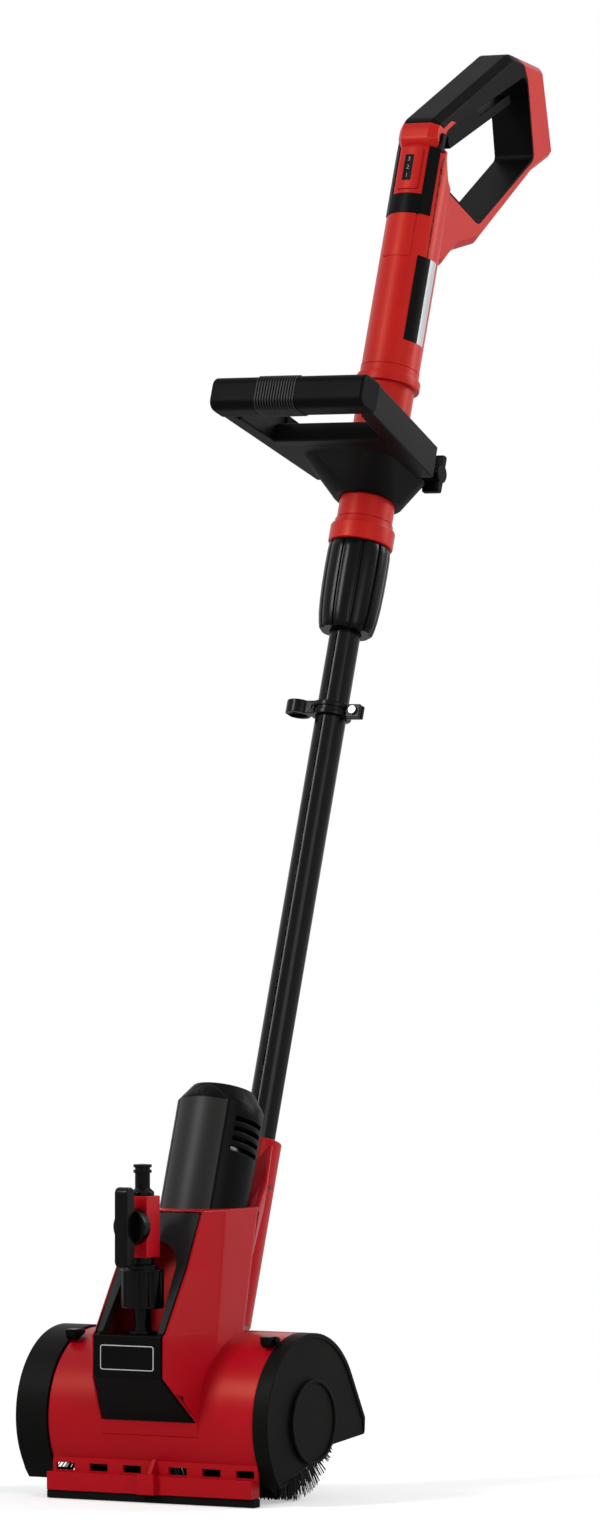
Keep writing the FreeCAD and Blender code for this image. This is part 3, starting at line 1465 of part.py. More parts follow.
def trigger_line():
    """Pivot, angle and length of the opening's upper side, along which the trigger lies."""
    front = loop_point(*opening_front_shares[:2])
    rear = loop_point(*opening_back_shares[:2])
    span_b = rear[0] - front[0]
    span_a = rear[1] - front[1]
    heading = math.atan2(span_a, span_b)
    pivot = vec(0, front[0] - trigger_rise * math.sin(heading), front[1] + trigger_rise * math.cos(heading))
    return pivot, math.degrees(heading) + trigger_tilt_angle, math.hypot(span_b, span_a)


def trigger_frame(shape):
    """Place a shape drawn along the trigger, from its pivot."""
    pivot, angle = trigger_line()[:2]
    placed = shape.copy()
    placed.rotate(vec(0, 0, 0), right, angle)
    placed.translate(pivot)
    return placed


def make_trigger():
    """Long paddle under the grip, with a web up to its pin at the front."""
    half = trigger_half_width
    low = -trigger_low
    high = -trigger_high
    reach = trigger_line()[-1] * trigger_reach_share
    paddle = plate([(-trigger_start, low, trigger_round), (reach, low, trigger_round),
                    (reach, high, trigger_round), (-trigger_start, high, trigger_round)], -half, half)
    web = plate([(-trigger_web_start, high - cut_over), (trigger_web_reach, high - cut_over),
                 (trigger_web_reach, -trigger_web_end_low),
                 (trigger_web_start, trigger_web_top, trigger_round),
                 (-trigger_web_start, trigger_web_top, trigger_round)], -half, half)
    pin = cross_rod(trigger_pin_radius, 0, 0, -trigger_half_width - trigger_pin_reach,
                    trigger_half_width + trigger_pin_reach)
    return trigger_frame(fused([paddle, web, pin]))


def make_trigger_space():
    """Room for the trigger and its swing into the grip."""
    side = trigger_half_width + slide_gap
    slot = block(-side, side, -trigger_start - trigger_slot_over, trigger_web_reach + trigger_slot_over,
                 -trigger_low - trigger_slot_over, trigger_slot_top)
    pin = cross_rod(trigger_pin_radius + fit_gap, 0, 0, -side - trigger_pin_reach, side + trigger_pin_reach)
    return trigger_frame(fused([slot, pin]))


def make_speed_wheel():
    disc = cross_rod(wheel_radius, wheel_b, wheel_a, -wheel_width / 2, wheel_width / 2)
    axle = cross_rod(wheel_axle_radius, wheel_b, wheel_a, -wheel_width / 2 - wheel_axle_reach,
                     wheel_width / 2 + wheel_axle_reach)
    wheel = fused([disc, axle])
    for index in range(wheel_teeth):
        angle = math.radians(full_turn * index / wheel_teeth)
        wheel = wheel.cut(cross_rod(wheel_tooth_radius, wheel_b + wheel_radius * math.cos(angle),
                                    wheel_a + wheel_radius * math.sin(angle), -wheel_width, wheel_width))
    return wheel


def make_wheel_space():
    half = wheel_width / 2 + slide_gap
    room = cross_rod(wheel_radius + slide_gap, wheel_b, wheel_a, -half, half)
    axle = cross_rod(wheel_axle_radius + fit_gap, wheel_b, wheel_a, -half - wheel_axle_reach,
                     half + wheel_axle_reach)
    window = block(-window_half_width, window_half_width, -housing_radius - cut_over,
                   -housing_radius + window_depth, wheel_a - window_height / 2, wheel_a + window_height / 2)
    return fused([room, axle, window])


def button_outline(grow, x0, x1):
    half = button_half_length + grow
    wide = button_half_width + grow
    bend = wide * button_round_share
    return plate([(button_b - wide, button_a - half, bend), (button_b + wide, button_a - half, bend),
                  (button_b + wide, button_a + half, bend), (button_b - wide, button_a + half, bend)], x0, x1)


def make_lock_button():
    return button_outline(0, -loop_half_width - button_reach, loop_half_width + button_reach)


def switch_block():
    """The switch, in the grip behind the trigger's web."""
    body = block(-switch_half_width, switch_half_width, switch_start, switch_start + switch_length,
                 -switch_low, switch_height - switch_low)
    return trigger_frame(body)


def make_contact_blades():
    """Upright contacts that stand out of the battery face."""
    blades = []
    high_share = terminal_low_share + blade_length / foot_frame()[-1]
    for index in range(blade_count):
        x = (index - (blade_count - 1) / 2) * blade_pitch
        blades.append(foot_block(x - blade_half_thickness, x + blade_half_thickness, terminal_low_share,
                                 high_share, blade_root, blade_reach))
    return Part.makeCompound(blades)


def make_terminal_block():
    """Block behind the battery face that holds the contacts."""
    body = foot_block(-terminal_half_width, terminal_half_width, terminal_low_share, terminal_high_share,
                      terminal_depth, 0)
    return body.cut(make_contact_blades())


def handle_screw(b, a, shank_gap):
    """A screw from the left shell into the right one."""
    head_x = loop_edge_round / 2 - loop_half_width
    shank = cross_rod(screw_radius + shank_gap, b, a, head_x, head_x + screw_length)
    head = cross_rod(screw_head_radius + shank_gap, b, a, head_x, head_x + screw_head_height)
    return fused([shank, head])


def handle_screw_places():
    return [loop_point(a, b) for a, b in handle_screw_shares]


def handle_spaces():
    """What the rear handle has to leave free, apart from the soft grip."""
    reach = housing_radius + cut_over
    spaces = [post(tube_bore, 0, housing_bottom_a - cut_over, housing_bore_top_a), make_trigger_space(),
              make_wheel_space(), switch_block(), make_terminal_block(), make_contact_blades(),
              button_outline(slide_gap, -reach, reach)]
    for side in (-1, 1):
        x0, x1 = sorted((side * rail_half_width, side * reach))
        spaces.append(foot_block(x0, x1, 0, 1, rail_depth + rail_lip, -rail_lip))
    head_x = loop_edge_round / 2 - loop_half_width
    for b, a in handle_screw_places():
        spaces.append(handle_screw(b, a, 0))
        spaces.append(cross_rod(screw_head_radius, b, a, -housing_radius - cut_over, head_x))
    return spaces


def make_soft_grip(body):
    """Soft cover of the grip, and the liner round the hand opening."""
    reach = housing_radius + cut_over
    region = plate(loop_corners(soft_outline_shares), -reach, reach)
    bevel_turn = math.radians(eighth_turn)
    core_bevel = loop_edge_round - soft_wall * math.tan(bevel_turn / 2) / math.cos(bevel_turn)
    core = slab(soft_core_shares, loop_half_width - soft_wall, core_bevel)
    liner = opening_prism(liner_wall, loop_half_width)
    cover = body.common(region).cut(core)
    grip = fused([cover, liner])
    grip = grip.cut(opening_prism(0, reach))
    return grip.cut(make_trigger_space())


def make_handle_shells(body, soft_grip):
    """Left and right shells, with room for what they hold."""
    shell = body.cut(opening_prism(0, housing_radius + cut_over)).cut(soft_grip)
    for space in handle_spaces():
        shell = shell.cut(space)
    reach = loop_length + loop_depth
    left = shell.common(block(-reach, 0, -reach, reach, housing_bottom_a, loop_start_a + reach))
    other = shell.common(block(0, reach, -reach, reach, housing_bottom_a, loop_start_a + reach))
    return left, other


def make_aux_handle():
    """Loop-shaped second handle with its clamp round the grip tube."""

    def flat(points, a0, a1):
        wire = Part.makePolygon([vec(x, b, a0) for x, b in points + [points[0]]])
        return Part.Face(wire).extrude(vec(0, 0, a1 - a0))

    outer = [(-aux_half_width, aux_b), (aux_half_width, aux_b), (aux_rear_half_width, aux_rear_b),
             (-aux_rear_half_width, aux_rear_b)]
    frame = flat(outer, aux_frame_low_a, aux_frame_high_a)
    gap = [(-aux_gap_front_x, aux_b - cut_over), (aux_gap_front_x, aux_b - cut_over),
           (aux_gap_rear_x, aux_gap_rear_b), (-aux_gap_rear_x, aux_gap_rear_b)]
    pocket_rear = aux_rear_b + cut_over
    pocket = [(-aux_gap_rear_x + aux_arm_thickness / 4, aux_gap_rear_b + aux_bar_depth),
              (aux_gap_rear_x - aux_arm_thickness / 4, aux_gap_rear_b + aux_bar_depth),
              (aux_rear_half_width - aux_arm_thickness, pocket_rear),
              (-aux_rear_half_width + aux_arm_thickness, pocket_rear)]
    frame = frame.cut(flat(gap, aux_frame_low_a - cut_over, aux_frame_high_a + cut_over))
    frame = frame.cut(flat(pocket, aux_funnel_a, aux_frame_high_a + cut_over))
    under_bar = block(-aux_gap_rear_x, aux_gap_rear_x, aux_gap_rear_b - cut_over,
                      aux_gap_rear_b + aux_bar_depth, aux_frame_low_a - cut_over, aux_bar_low_a)
    frame = frame.cut(under_bar)
    grip = cross_rod(aux_grip_radius, aux_b, aux_a, -aux_half_width, aux_half_width)
    low_wire = level_wire(aux_clamp_radius, -aux_clamp_radius, aux_clamp_radius, aux_clamp_low_a,
                          aux_clamp_radius - cut_over)
    high_wire = level_wire(aux_funnel_half_width, aux_funnel_front_b, aux_clamp_radius, aux_funnel_a,
                           aux_funnel_corner)
    funnel = Part.makeLoft([low_wire, high_wire], True, True)
    collar = post(aux_clamp_radius, 0, aux_clamp_low_a, aux_frame_high_a)
    ears = block(aux_ear_left_x, aux_ear_right_x, 0, aux_ear_rear_b, aux_bolt_a - aux_ear_half_height,
                 aux_bolt_a + aux_ear_half_height)
    body = fused([frame, grip, funnel, collar, ears])
    low = aux_clamp_low_a - cut_over
    high = aux_frame_high_a + cut_over
    body = body.cut(post(grip_tube_radius + slide_gap, 0, low, high))
    body = body.cut(block(-aux_slit / 2, aux_slit / 2, 0, aux_ear_rear_b + cut_over, low, high))
    return body.cut(cross_rod(aux_bolt_radius, aux_bolt_b, aux_bolt_a, aux_ear_left_x - cut_over,
                              aux_ear_right_x + cut_over))


def make_aux_bolt():
    bolt = cross_rod(aux_bolt_radius, aux_bolt_b, aux_bolt_a, aux_ear_left_x, aux_knob_end_x - aux_nut_height)
    head = cross_rod(aux_nut_radius, aux_bolt_b, aux_bolt_a, aux_ear_left_x - aux_nut_height, aux_ear_left_x)
    return fused([bolt, head])


def make_aux_knob():
    """Wing knob on the end of the clamp bolt."""
    low = aux_ear_right_x + slide_gap
    hub = cross_rod(aux_knob_radius, aux_bolt_b, aux_bolt_a, low, aux_knob_end_x)
    wing = plate([(aux_bolt_b - aux_knob_wing_wall / 2, aux_bolt_a - aux_knob_wing, aux_knob_wing_wall / 3),
                  (aux_bolt_b + aux_knob_wing_wall / 2, aux_bolt_a - aux_knob_wing, aux_knob_wing_wall / 3),
                  (aux_bolt_b + aux_knob_wing_wall / 2, aux_bolt_a + aux_knob_wing, aux_knob_wing_wall / 3),
                  (aux_bolt_b - aux_knob_wing_wall / 2, aux_bolt_a + aux_knob_wing, aux_knob_wing_wall / 3)],
                 low + aux_nut_height, aux_knob_end_x)
    knob = fused([hub, wing])
    return knob.cut(cross_rod(aux_bolt_radius + fit_gap, aux_bolt_b, aux_bolt_a, low - cut_over,
                              aux_knob_end_x - aux_nut_height + slide_gap))


def make_pole_bolt():
    """Cross bolt that holds the pole in its socket."""
    bolt = cross_rod(screw_radius, 0, pole_bolt_a, -socket_radius, socket_radius)
    head_x = -socket_radius - screw_head_height
    bolt_head = cross_rod(screw_head_radius, 0, pole_bolt_a, head_x, -socket_radius)
    return fused([bolt, bolt_head])


def save(name, shape):
    """Write one piece as STEP, after checking that it is sound."""
    solids = shape.Solids
    if not solids or not all(solid.isValid() and solid.isClosed() for solid in solids):
        raise ValueError(name + " is not a closed solid")
    whole = solids[0] if len(solids) == 1 else Part.makeCompound(solids)
    whole.exportStep("parts/" + name + ".step")
    print(name, len(solids), round(whole.Volume))


def main():
    os.makedirs("parts", exist_ok=True)
    pole_bolt = make_pole_bolt()
    bristles = make_bristles()
    body = make_handle_body()
    soft_grip = make_soft_grip(body)
    left_shell, right_shell = make_handle_shells(body, soft_grip)
    head = {
        "front_housing": make_front_housing(),
        "bib_cover": make_bib(),
        "left_hood": make_hood(-1, left_hood_outer_x),
        "right_hood": make_hood(1, right_hood_outer_x),
        "front_strip": make_front_strip(),
        "rear_flap": make_rear_flap(),
        "left_latch": make_latch(-1),
        "right_latch": make_latch(1),
        "water_inlet": make_water_inlet(),
        "coupler_core": make_coupler_core(),
        "coupler_collar": make_collar(),
        "valve_block": make_valve_block(),
        "valve_ball": make_valve_ball(),
        "valve_knob": make_valve_knob(),
        "hose_nipple": make_hose_nipple(),
    }
    leaning = {
        "rear_housing": make_rear_housing().cut(pole_bolt),
        "gearbox_left": make_gearbox(-1),
        "gearbox_right": make_gearbox(1),
        "gearbox_bearings": make_gearbox_bearings(),
        "motor_bearings": make_motor_bearings(),
        "motor_can": make_motor_can(),
        "motor_magnets": make_magnets(),
        "motor_cover_front": make_motor_cover(True),
        "motor_cover_rear": make_motor_cover(False),
        "pole": make_pole().cut(pole_bolt),
        "pole_top_bush": make_pole_bush(),
        "pole_bolt": pole_bolt,
        "brush_axle": make_axle(),
        "axle_gear": make_axle_gear(),
        "left_brush_hub": make_brush_hub(-1),
        "right_brush_hub": make_brush_hub(1),
        "left_bristles": bristles.mirror(vec(0, 0, 0), right),
        "right_bristles": bristles,
        "brush_clips": make_brush_clips(),
        "layshaft": make_layshaft(),
        "spur_pinion": make_spur_pinion(),
        "bevel_wheel": make_bevel_wheel(),
        "bevel_pinion": make_bevel_pinion(),
        "motor_shaft": make_motor_shaft(),
        "rotor_core": make_rotor(),
        "cooling_fan": make_fan(),
        "hose_clip": make_hose_clip(),
        "hose_clip_screw": make_clip_screw(),
        "twist_sleeve": make_twist_sleeve(),
        "collet": make_collet(),
        "grip_tube": make_grip_tube(),
        "left_handle_shell": left_shell,
        "right_handle_shell": right_shell,
        "soft_grip": soft_grip,
        "trigger": make_trigger(),
        "speed_wheel": make_speed_wheel(),
        "lock_off_button": make_lock_button(),
        "switch": switch_block(),
        "terminal_block": make_terminal_block(),
        "contact_blades": make_contact_blades(),
        "handle_screws": Part.makeCompound([handle_screw(b, a, 0) for b, a in handle_screw_places()]),
        "aux_handle": make_aux_handle(),
        "aux_bolt": make_aux_bolt(),
        "aux_knob": make_aux_knob(),
    }
    for name, shape in head.items():
        save(name, shape)
    for name, shape in leaning.items():
        save(name, on_pole(shape))


main()
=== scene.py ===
import json
import math
import random

import bmesh
import bpy
from mathutils import Matrix, Vector

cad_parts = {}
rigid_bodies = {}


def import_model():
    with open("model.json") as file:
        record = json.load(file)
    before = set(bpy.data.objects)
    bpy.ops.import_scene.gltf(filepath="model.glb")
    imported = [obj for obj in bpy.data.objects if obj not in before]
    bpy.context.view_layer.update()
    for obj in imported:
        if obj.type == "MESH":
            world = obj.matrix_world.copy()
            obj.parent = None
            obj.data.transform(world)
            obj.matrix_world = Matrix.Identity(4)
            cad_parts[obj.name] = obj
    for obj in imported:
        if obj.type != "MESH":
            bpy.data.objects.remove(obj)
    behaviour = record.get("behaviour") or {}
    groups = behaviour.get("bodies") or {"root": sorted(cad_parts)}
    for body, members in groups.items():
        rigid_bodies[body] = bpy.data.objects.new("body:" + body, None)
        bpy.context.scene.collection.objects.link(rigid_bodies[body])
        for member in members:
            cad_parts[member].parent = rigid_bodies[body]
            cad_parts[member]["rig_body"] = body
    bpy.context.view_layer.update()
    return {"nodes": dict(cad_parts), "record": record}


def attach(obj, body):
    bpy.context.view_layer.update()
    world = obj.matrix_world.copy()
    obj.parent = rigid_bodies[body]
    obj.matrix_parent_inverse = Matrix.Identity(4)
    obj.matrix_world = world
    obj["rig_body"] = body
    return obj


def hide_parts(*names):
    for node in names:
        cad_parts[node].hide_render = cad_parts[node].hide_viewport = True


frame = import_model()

print("frame loaded:", len(frame["nodes"]), "nodes")

mm = 0.001
leanAngle = 18.4  # of the pole, back from upright
poleFoot = 80.0  # how far back the pole's line meets the floor
poleFrame = (Matrix.Translation((0, poleFoot * mm, 0))
             @ Matrix.Rotation(-math.radians(leanAngle), 4, "X"))
brushCentre = {"y": 74.0, "z": 75.0}
brushAxis = Vector((0, brushCentre["y"] * mm, brushCentre["z"] * mm))
slotOf = {entry["node"]: entry["material_slot"] for entry in frame["record"]["subparts"]}


# Handling pieces and picking what an operator works on

def pick(*pieces):
    if bpy.context.object and bpy.context.object.mode != "OBJECT":
        bpy.ops.object.mode_set(mode="OBJECT")
    bpy.ops.object.select_all(action="DESELECT")
    for piece in pieces:
        piece.select_set(True)
    bpy.context.view_layer.objects.active = pieces[0]


def startEdit(piece, selectAll=False):
    pick(piece)
    bpy.ops.object.mode_set(mode="EDIT")
    bpy.ops.mesh.select_mode(type="VERT")
    bpy.ops.mesh.select_all(action="SELECT" if selectAll else "DESELECT")


def endEdit():
    bpy.ops.object.mode_set(mode="OBJECT")


def choose(piece, kind, wanted):
    # kind is edges or faces; wanted is asked with each one's middle and its direction or normal
    bpy.ops.mesh.select_mode(type={"edges": "EDGE", "faces": "FACE"}[kind])
    bpy.ops.mesh.select_all(action="DESELECT")
    shape = bmesh.from_edit_mesh(piece.data)
    for part in getattr(shape, kind):
        if kind == "edges":
            ends = [corner.co for corner in part.verts]
            part.select_set(wanted((ends[0] + ends[1]) / 2, (ends[1] - ends[0]).normalized()))
        else:
            part.select_set(wanted(part.calc_center_median(), part.normal))
    shape.select_flush_mode()
    bmesh.update_edit_mesh(piece.data)


def settle(piece, matrix=None):
    pick(piece)
    if matrix is not None:
        piece.matrix_world = matrix @ piece.matrix_world
    bpy.ops.object.transform_apply(location=True, rotation=True, scale=True)


def modify(piece, kind, settings):
    pick(piece)
    modifier = piece.modifiers.new(kind.lower(), kind)
    for key, value in settings.items():
        setattr(modifier, key, value)
    bpy.ops.object.modifier_apply(modifier=modifier.name)


def named(name):
    piece = bpy.context.object
    piece.name = name
    piece.data.name = name
    return piece


def joined(name, pieces):
    pick(*pieces)
    bpy.ops.object.join()
    return named(name)


def smoothed(piece, angle=35):
    pick(piece)
    bpy.ops.object.shade_smooth_by_angle(angle=math.radians(angle))
    modify(piece, "WEIGHTED_NORMAL", {"keep_sharp": True})


def dressed(piece, finish, body, slot, *stoodFor):
    piece.data.materials.clear()
    piece.data.materials.append(finish.material)
    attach(piece, body)
    if stoodFor:
        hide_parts(*stoodFor)


def repainted(piece, finish, wanted):
    # gives the faces that wanted picks, by their middle in mm, another finish
    piece.data.materials.append(finish.material)
    for face in piece.data.polygons:
        if wanted(face.center / mm):
            face.material_index = len(piece.data.materials) - 1


def inPole(point):
    # where a world point lies in the pole's frame, in mm, as (x, backwards, along the pole)
    return poleFrame.inverted() @ point / mm


# Shapes that more than one piece starts from

def block(name, size, middle=(0, 0, 0)):
    # a plain box, with its size and middle in mm
    bpy.ops.object.select_all(action="DESELECT")
    bpy.ops.mesh.primitive_cube_add(size=1, location=[value * mm for value in middle],
                                    scale=[value * mm for value in size])
    return named(name)


def lathe(name, profile, sides):
    # profile is a closed chain of (radius, height) in mm, turned about the height axis
    radius, height = profile[0]
    bpy.ops.object.select_all(action="DESELECT")
    bpy.ops.mesh.primitive_circle_add(vertices=sides, radius=radius * mm, location=(0, 0, height * mm))
    piece = named(name)
    settle(piece)
    startEdit(piece, True)
    for nextRadius, nextHeight in profile[1:] + profile[:1]:
        rise = (nextHeight - height) * mm
        scale = nextRadius / radius
        bpy.ops.mesh.extrude_region_move(TRANSFORM_OT_translate={"value": (0, 0, rise)})
        bpy.ops.transform.resize(value=(scale, scale, 1), center_override=(0, 0, nextHeight * mm))
        radius, height = nextRadius, nextHeight
    bpy.ops.mesh.select_all(action="SELECT")
    bpy.ops.mesh.remove_doubles(threshold=0.01 * mm)
    bpy.ops.mesh.normals_make_consistent(inside=False)
    endEdit()
    return piece


def flatPlate(name, size, corner, edge, cuts=0):
    # a rounded plate that lies on z = 0, size in mm as (width, height, thickness)
    width, height, thickness = size
    piece = block(name, size, (0, 0, thickness / 2))
    settle(piece)
    startEdit(piece)
    choose(piece, "edges", lambda middle, way: abs(way.z) > 0.9)
    bpy.ops.mesh.bevel(offset=corner * mm, segments=4, profile=0.5)
    choose(piece, "edges", lambda middle, way: abs(way.z) < 0.1 and middle.z > 0.9 * thickness * mm)
    bpy.ops.mesh.bevel(offset=edge * mm, segments=2, profile=0.5)
    for index in range(cuts):
        x = (index + 1) / (cuts + 1) * width * mm - width * mm / 2
        bpy.ops.mesh.select_all(action="SELECT")
        bpy.ops.mesh.bisect(plane_co=(x, 0, 0), plane_no=(1, 0, 0))
    endEdit()
    return piece


def wrapped(piece, radius, angle, height):
    # bends a flat piece round the tube: x goes round it, y up it and z out of it
    for vertex in piece.data.vertices:
        flat = vertex.co.copy()
        turn = math.radians(angle) + flat.x / (radius * mm)
        out = radius * mm + flat.z
        vertex.co = (out * math.sin(turn), -out * math.cos(turn), height * mm + flat.y)
    settle(piece, poleFrame)


rounding = {"weld": 0.005, "flat": 0.4, "sharp": 36, "segments": 2, "smooth": 40}


def softened(nodeName, width, finish, spared=None, prepare=None):
    # a copy of a CAD node with its outward edges rounded as a mould leaves them, but for the spared ones;
    # prepare, where given, reshapes the copy first
    source = frame["nodes"][nodeName]
    piece = bpy.data.objects.new(nodeName + "_moulded", source.data.copy())
    piece.data.name = piece.name
    bpy.context.scene.collection.objects.link(piece)
    if prepare:
        prepare(piece)
    startEdit(piece, True)
    bpy.ops.mesh.remove_doubles(threshold=rounding["weld"] * mm)
    bpy.ops.mesh.dissolve_limited(angle_limit=math.radians(rounding["flat"]))
    shape = bmesh.from_edit_mesh(piece.data)
    weight = shape.edges.layers.float.new("bevel_weight_edge")
    for edge in shape.edges:
        middle = (edge.verts[0].co + edge.verts[1].co) / 2 / mm
        bent = edge.is_convex and edge.calc_face_angle(0) > math.radians(rounding["sharp"])
        edge[weight] = 1.0 if bent and not (spared and spared(middle)) else 0.0
    bmesh.update_edit_mesh(piece.data)
    endEdit()
    bpy.ops.mesh.customdata_custom_splitnormals_clear()
    modify(piece, "BEVEL", {"width": width * mm, "segments": rounding["segments"],
                            "limit_method": "WEIGHT", "use_clamp_overlap": False})
    smoothed(piece, rounding["smooth"])
    dressed(piece, finish, source["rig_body"], slotOf[nodeName], nodeName)
    return piece


# Shader maths as plain sums, and one way to make every other node

class Reading:
    def __init__(self, shading, socket):
        self.shading = shading
        self.socket = socket

    def sum(self, operation, first, second):
        return self.shading.node("ShaderNodeMath", {"operation": operation}, {0: first, 1: second})

    def __add__(self, other):
        return self.sum("ADD", self, other)

    def __radd__(self, other):
        return self.sum("ADD", other, self)

    def __sub__(self, other):
        return self.sum("SUBTRACT", self, other)

    def __rsub__(self, other):
        return self.sum("SUBTRACT", other, self)

    def __mul__(self, other):
        return self.sum("MULTIPLY", self, other)

    def __rmul__(self, other):
        return self.sum("MULTIPLY", other, self)


class Shading:
    def __init__(self, tree):
        self.tree = tree

    def node(self, kind, settings=None, inputs=None, output=0):
        made = self.tree.nodes.new(kind)
        for key, value in (settings or {}).items():
            setattr(made, key, value)
        for key, value in (inputs or {}).items():
            if isinstance(value, Reading):
                self.tree.links.new(value.socket, made.inputs[key])
            else:
                made.inputs[key].default_value = value
        return Reading(self, made.outputs[output])

    def showAs(self, outputName, reading):
        self.tree.links.new(reading.socket, self.tree.nodes[outputName].inputs["Surface"])

    def place(self, scale=(1, 1, 1), turn=(0, 0, 0)):
        where = self.node("ShaderNodeTexCoord", output="Object")
        return self.node("ShaderNodeMapping", {}, {"Vector": where, "Scale": scale, "Rotation": turn})

    def noise(self, where, scale, detail, rough=0.5):
        return self.node("ShaderNodeTexNoise", {}, {"Vector": where, "Scale": scale, "Detail": detail,
                                                    "Roughness": rough})

    def mixed(self, factor, first, second):
        return self.node("ShaderNodeMix", {"data_type": "RGBA"}, {0: factor, 6: first, 7: second}, 2)

    def ramp(self, reading, low, high):
        return self.node("ShaderNodeMapRange", {}, {"Value": reading, "From Min": low, "From Max": high})

    def bumped(self, height, distance):
        return self.node("ShaderNodeBump", {}, {"Height": height, "Distance": distance * mm})


class Finish(Shading):
    def __init__(self, name, shader=None):
        self.material = bpy.data.materials.new(name)
        self.material.use_nodes = True
        super().__init__(self.material.node_tree)
        self.shader = self.tree.nodes["Principled BSDF"]
        for key, value in (shader or {}).items():
            self.shader.inputs[key].default_value = value

    def feed(self, **readings):
        for key, reading in readings.items():
            self.tree.links.new(reading.socket, self.shader.inputs[key.replace("_", " ")])


def colour(red, green, blue):
    return (red, green, blue, 1)


white = colour(1, 1, 1)

# Moulded plastic: a cloudy tone, fine grain with pits, and scuffs that run along the piece

plastic = {"cloud": 14, "cloudSpan": (0.3, 0.75), "cloudGloss": 0.12, "grainGloss": 0.1, "grainBump": 0.6,
           "pits": 0.7, "pitBump": 0.4, "scuff": 9, "scuffStretch": (9, 60, 60),
           "scuffTurn": (0.4, 0.3, 0.9), "scuffSpan": (0.66, 0.8)}


def mouldedPlastic(name, look):
    finish = Finish(name, {"Specular IOR Level": look["gloss"], "Specular Tint": look.get("tint", white)})
    where = finish.place()
    cloud = finish.noise(where, plastic["cloud"], 3)
    grain = finish.noise(where, look["grain"], 2, 0.6)
    pits = finish.node("ShaderNodeTexVoronoi", {"feature": "SMOOTH_F1"},
                       {"Vector": where, "Scale": look["grain"] * plastic["pits"]})
    along = finish.place(plastic["scuffStretch"], plastic["scuffTurn"])
    scuffs = finish.ramp(finish.noise(along, plastic["scuff"], 5, 0.7), *plastic["scuffSpan"])
    base = finish.mixed(finish.ramp(cloud, *plastic["cloudSpan"]), look["colour"], look["shade"])
    base = finish.mixed(scuffs * look["wear"], base, look["worn"])
    rough = (look["rough"] + (cloud - 0.5) * plastic["cloudGloss"] + (grain - 0.5) * plastic["grainGloss"]
             + scuffs * look["wear"])
    height = grain * plastic["grainBump"] + pits * plastic["pitBump"]
    finish.feed(Base_Color=base, Roughness=rough, Normal=finish.bumped(height, look["depth"]))
    return finish


orangeSheen = colour(1.0, 0.4, 0.24)
redPlastic = mouldedPlastic("redSatinPlastic", {
    "colour": colour(0.42, 0.0022, 0.0105), "shade": colour(0.36, 0.0018, 0.0085), "depth": 0.035,
    "worn": colour(0.47, 0.012, 0.016), "wear": 0.1, "rough": 0.36, "gloss": 0.26, "grain": 1500,
    "tint": orangeSheen})
# painted light: a brighter, more orange copy of the red plastic, so the handle's upper parts look lit
litHandleRed = mouldedPlastic("redHandlePlasticPaintedLight", {
    "colour": colour(0.5, 0.012, 0.0115), "shade": colour(0.43, 0.009, 0.01), "depth": 0.05,
    "worn": colour(0.56, 0.03, 0.022), "wear": 0.15, "rough": 0.38, "gloss": 0.3, "grain": 1300,
    "tint": orangeSheen})
blackPlastic = mouldedPlastic("blackMouldedPlastic", {
    "colour": colour(0.0045, 0.0044, 0.0042), "shade": colour(0.003, 0.003, 0.003), "depth": 0.07,
    "worn": colour(0.016, 0.016, 0.015), "wear": 0.12, "rough": 0.4, "gloss": 0.06, "grain": 1100})
motorPlastic = mouldedPlastic("greyBlackMotorPlastic", {
    "colour": colour(0.013, 0.0125, 0.012), "shade": colour(0.0095, 0.009, 0.0085), "depth": 0.06,
    "worn": colour(0.03, 0.03, 0.029), "wear": 0.1, "rough": 0.4, "gloss": 0.16, "grain": 1300})
texturedPlastic = mouldedPlastic("etchedBlackPlastic", {
    "colour": colour(0.013, 0.013, 0.0135), "shade": colour(0.005, 0.005, 0.005), "depth": 0.14,
    "worn": colour(0.03, 0.03, 0.03), "wear": 0.15, "rough": 0.5, "gloss": 0.12, "grain": 620})
hoodPlastic = mouldedPlastic("coarseBlackPlastic", {
    "colour": colour(0.004, 0.0037, 0.0032), "shade": colour(0.0028, 0.0026, 0.0024), "depth": 0.08,
    "worn": colour(0.014, 0.0135, 0.0125), "wear": 0.15, "rough": 0.5, "gloss": 0.05, "grain": 900})
gripPlastic = mouldedPlastic("softTouchBlack", {
    "colour": colour(0.0026, 0.0026, 0.0026), "shade": colour(0.0018, 0.0018, 0.0018), "depth": 0.05,
    "worn": colour(0.009, 0.009, 0.009), "wear": 0.12, "rough": 0.44, "gloss": 0.035, "grain": 1700})
capPlastic = mouldedPlastic("darkCapPlastic", {
    "colour": colour(0.002, 0.002, 0.002), "shade": colour(0.0014, 0.0014, 0.0014), "depth": 0.05,
    "worn": colour(0.009, 0.009, 0.009), "wear": 0.08, "rough": 0.36, "gloss": 0.05, "grain": 1300})
nozzlePlastic = mouldedPlastic("smoothBlackPlastic", {
    "colour": colour(0.0016, 0.0016, 0.0016), "shade": colour(0.0012, 0.0012, 0.0012), "depth": 0.02,
    "worn": colour(0.009, 0.009, 0.009), "wear": 0.08, "rough": 0.24, "gloss": 0.1, "grain": 1800})
stripRubber = mouldedPlastic("sweepingRubber", {
    "colour": colour(0.0032, 0.0032, 0.0032), "shade": colour(0.002, 0.002, 0.002), "depth": 0.08,
    "worn": colour(0.012, 0.012, 0.0115), "wear": 0.3, "rough": 0.68, "gloss": 0.07, "grain": 700})
silverLabel = mouldedPlastic("silverFilm", {
    "colour": colour(0.52, 0.53, 0.54), "shade": colour(0.46, 0.47, 0.48), "depth": 0.01,
    "worn": colour(0.35, 0.35, 0.35), "wear": 0.2, "rough": 0.3, "gloss": 0.4, "grain": 2200})
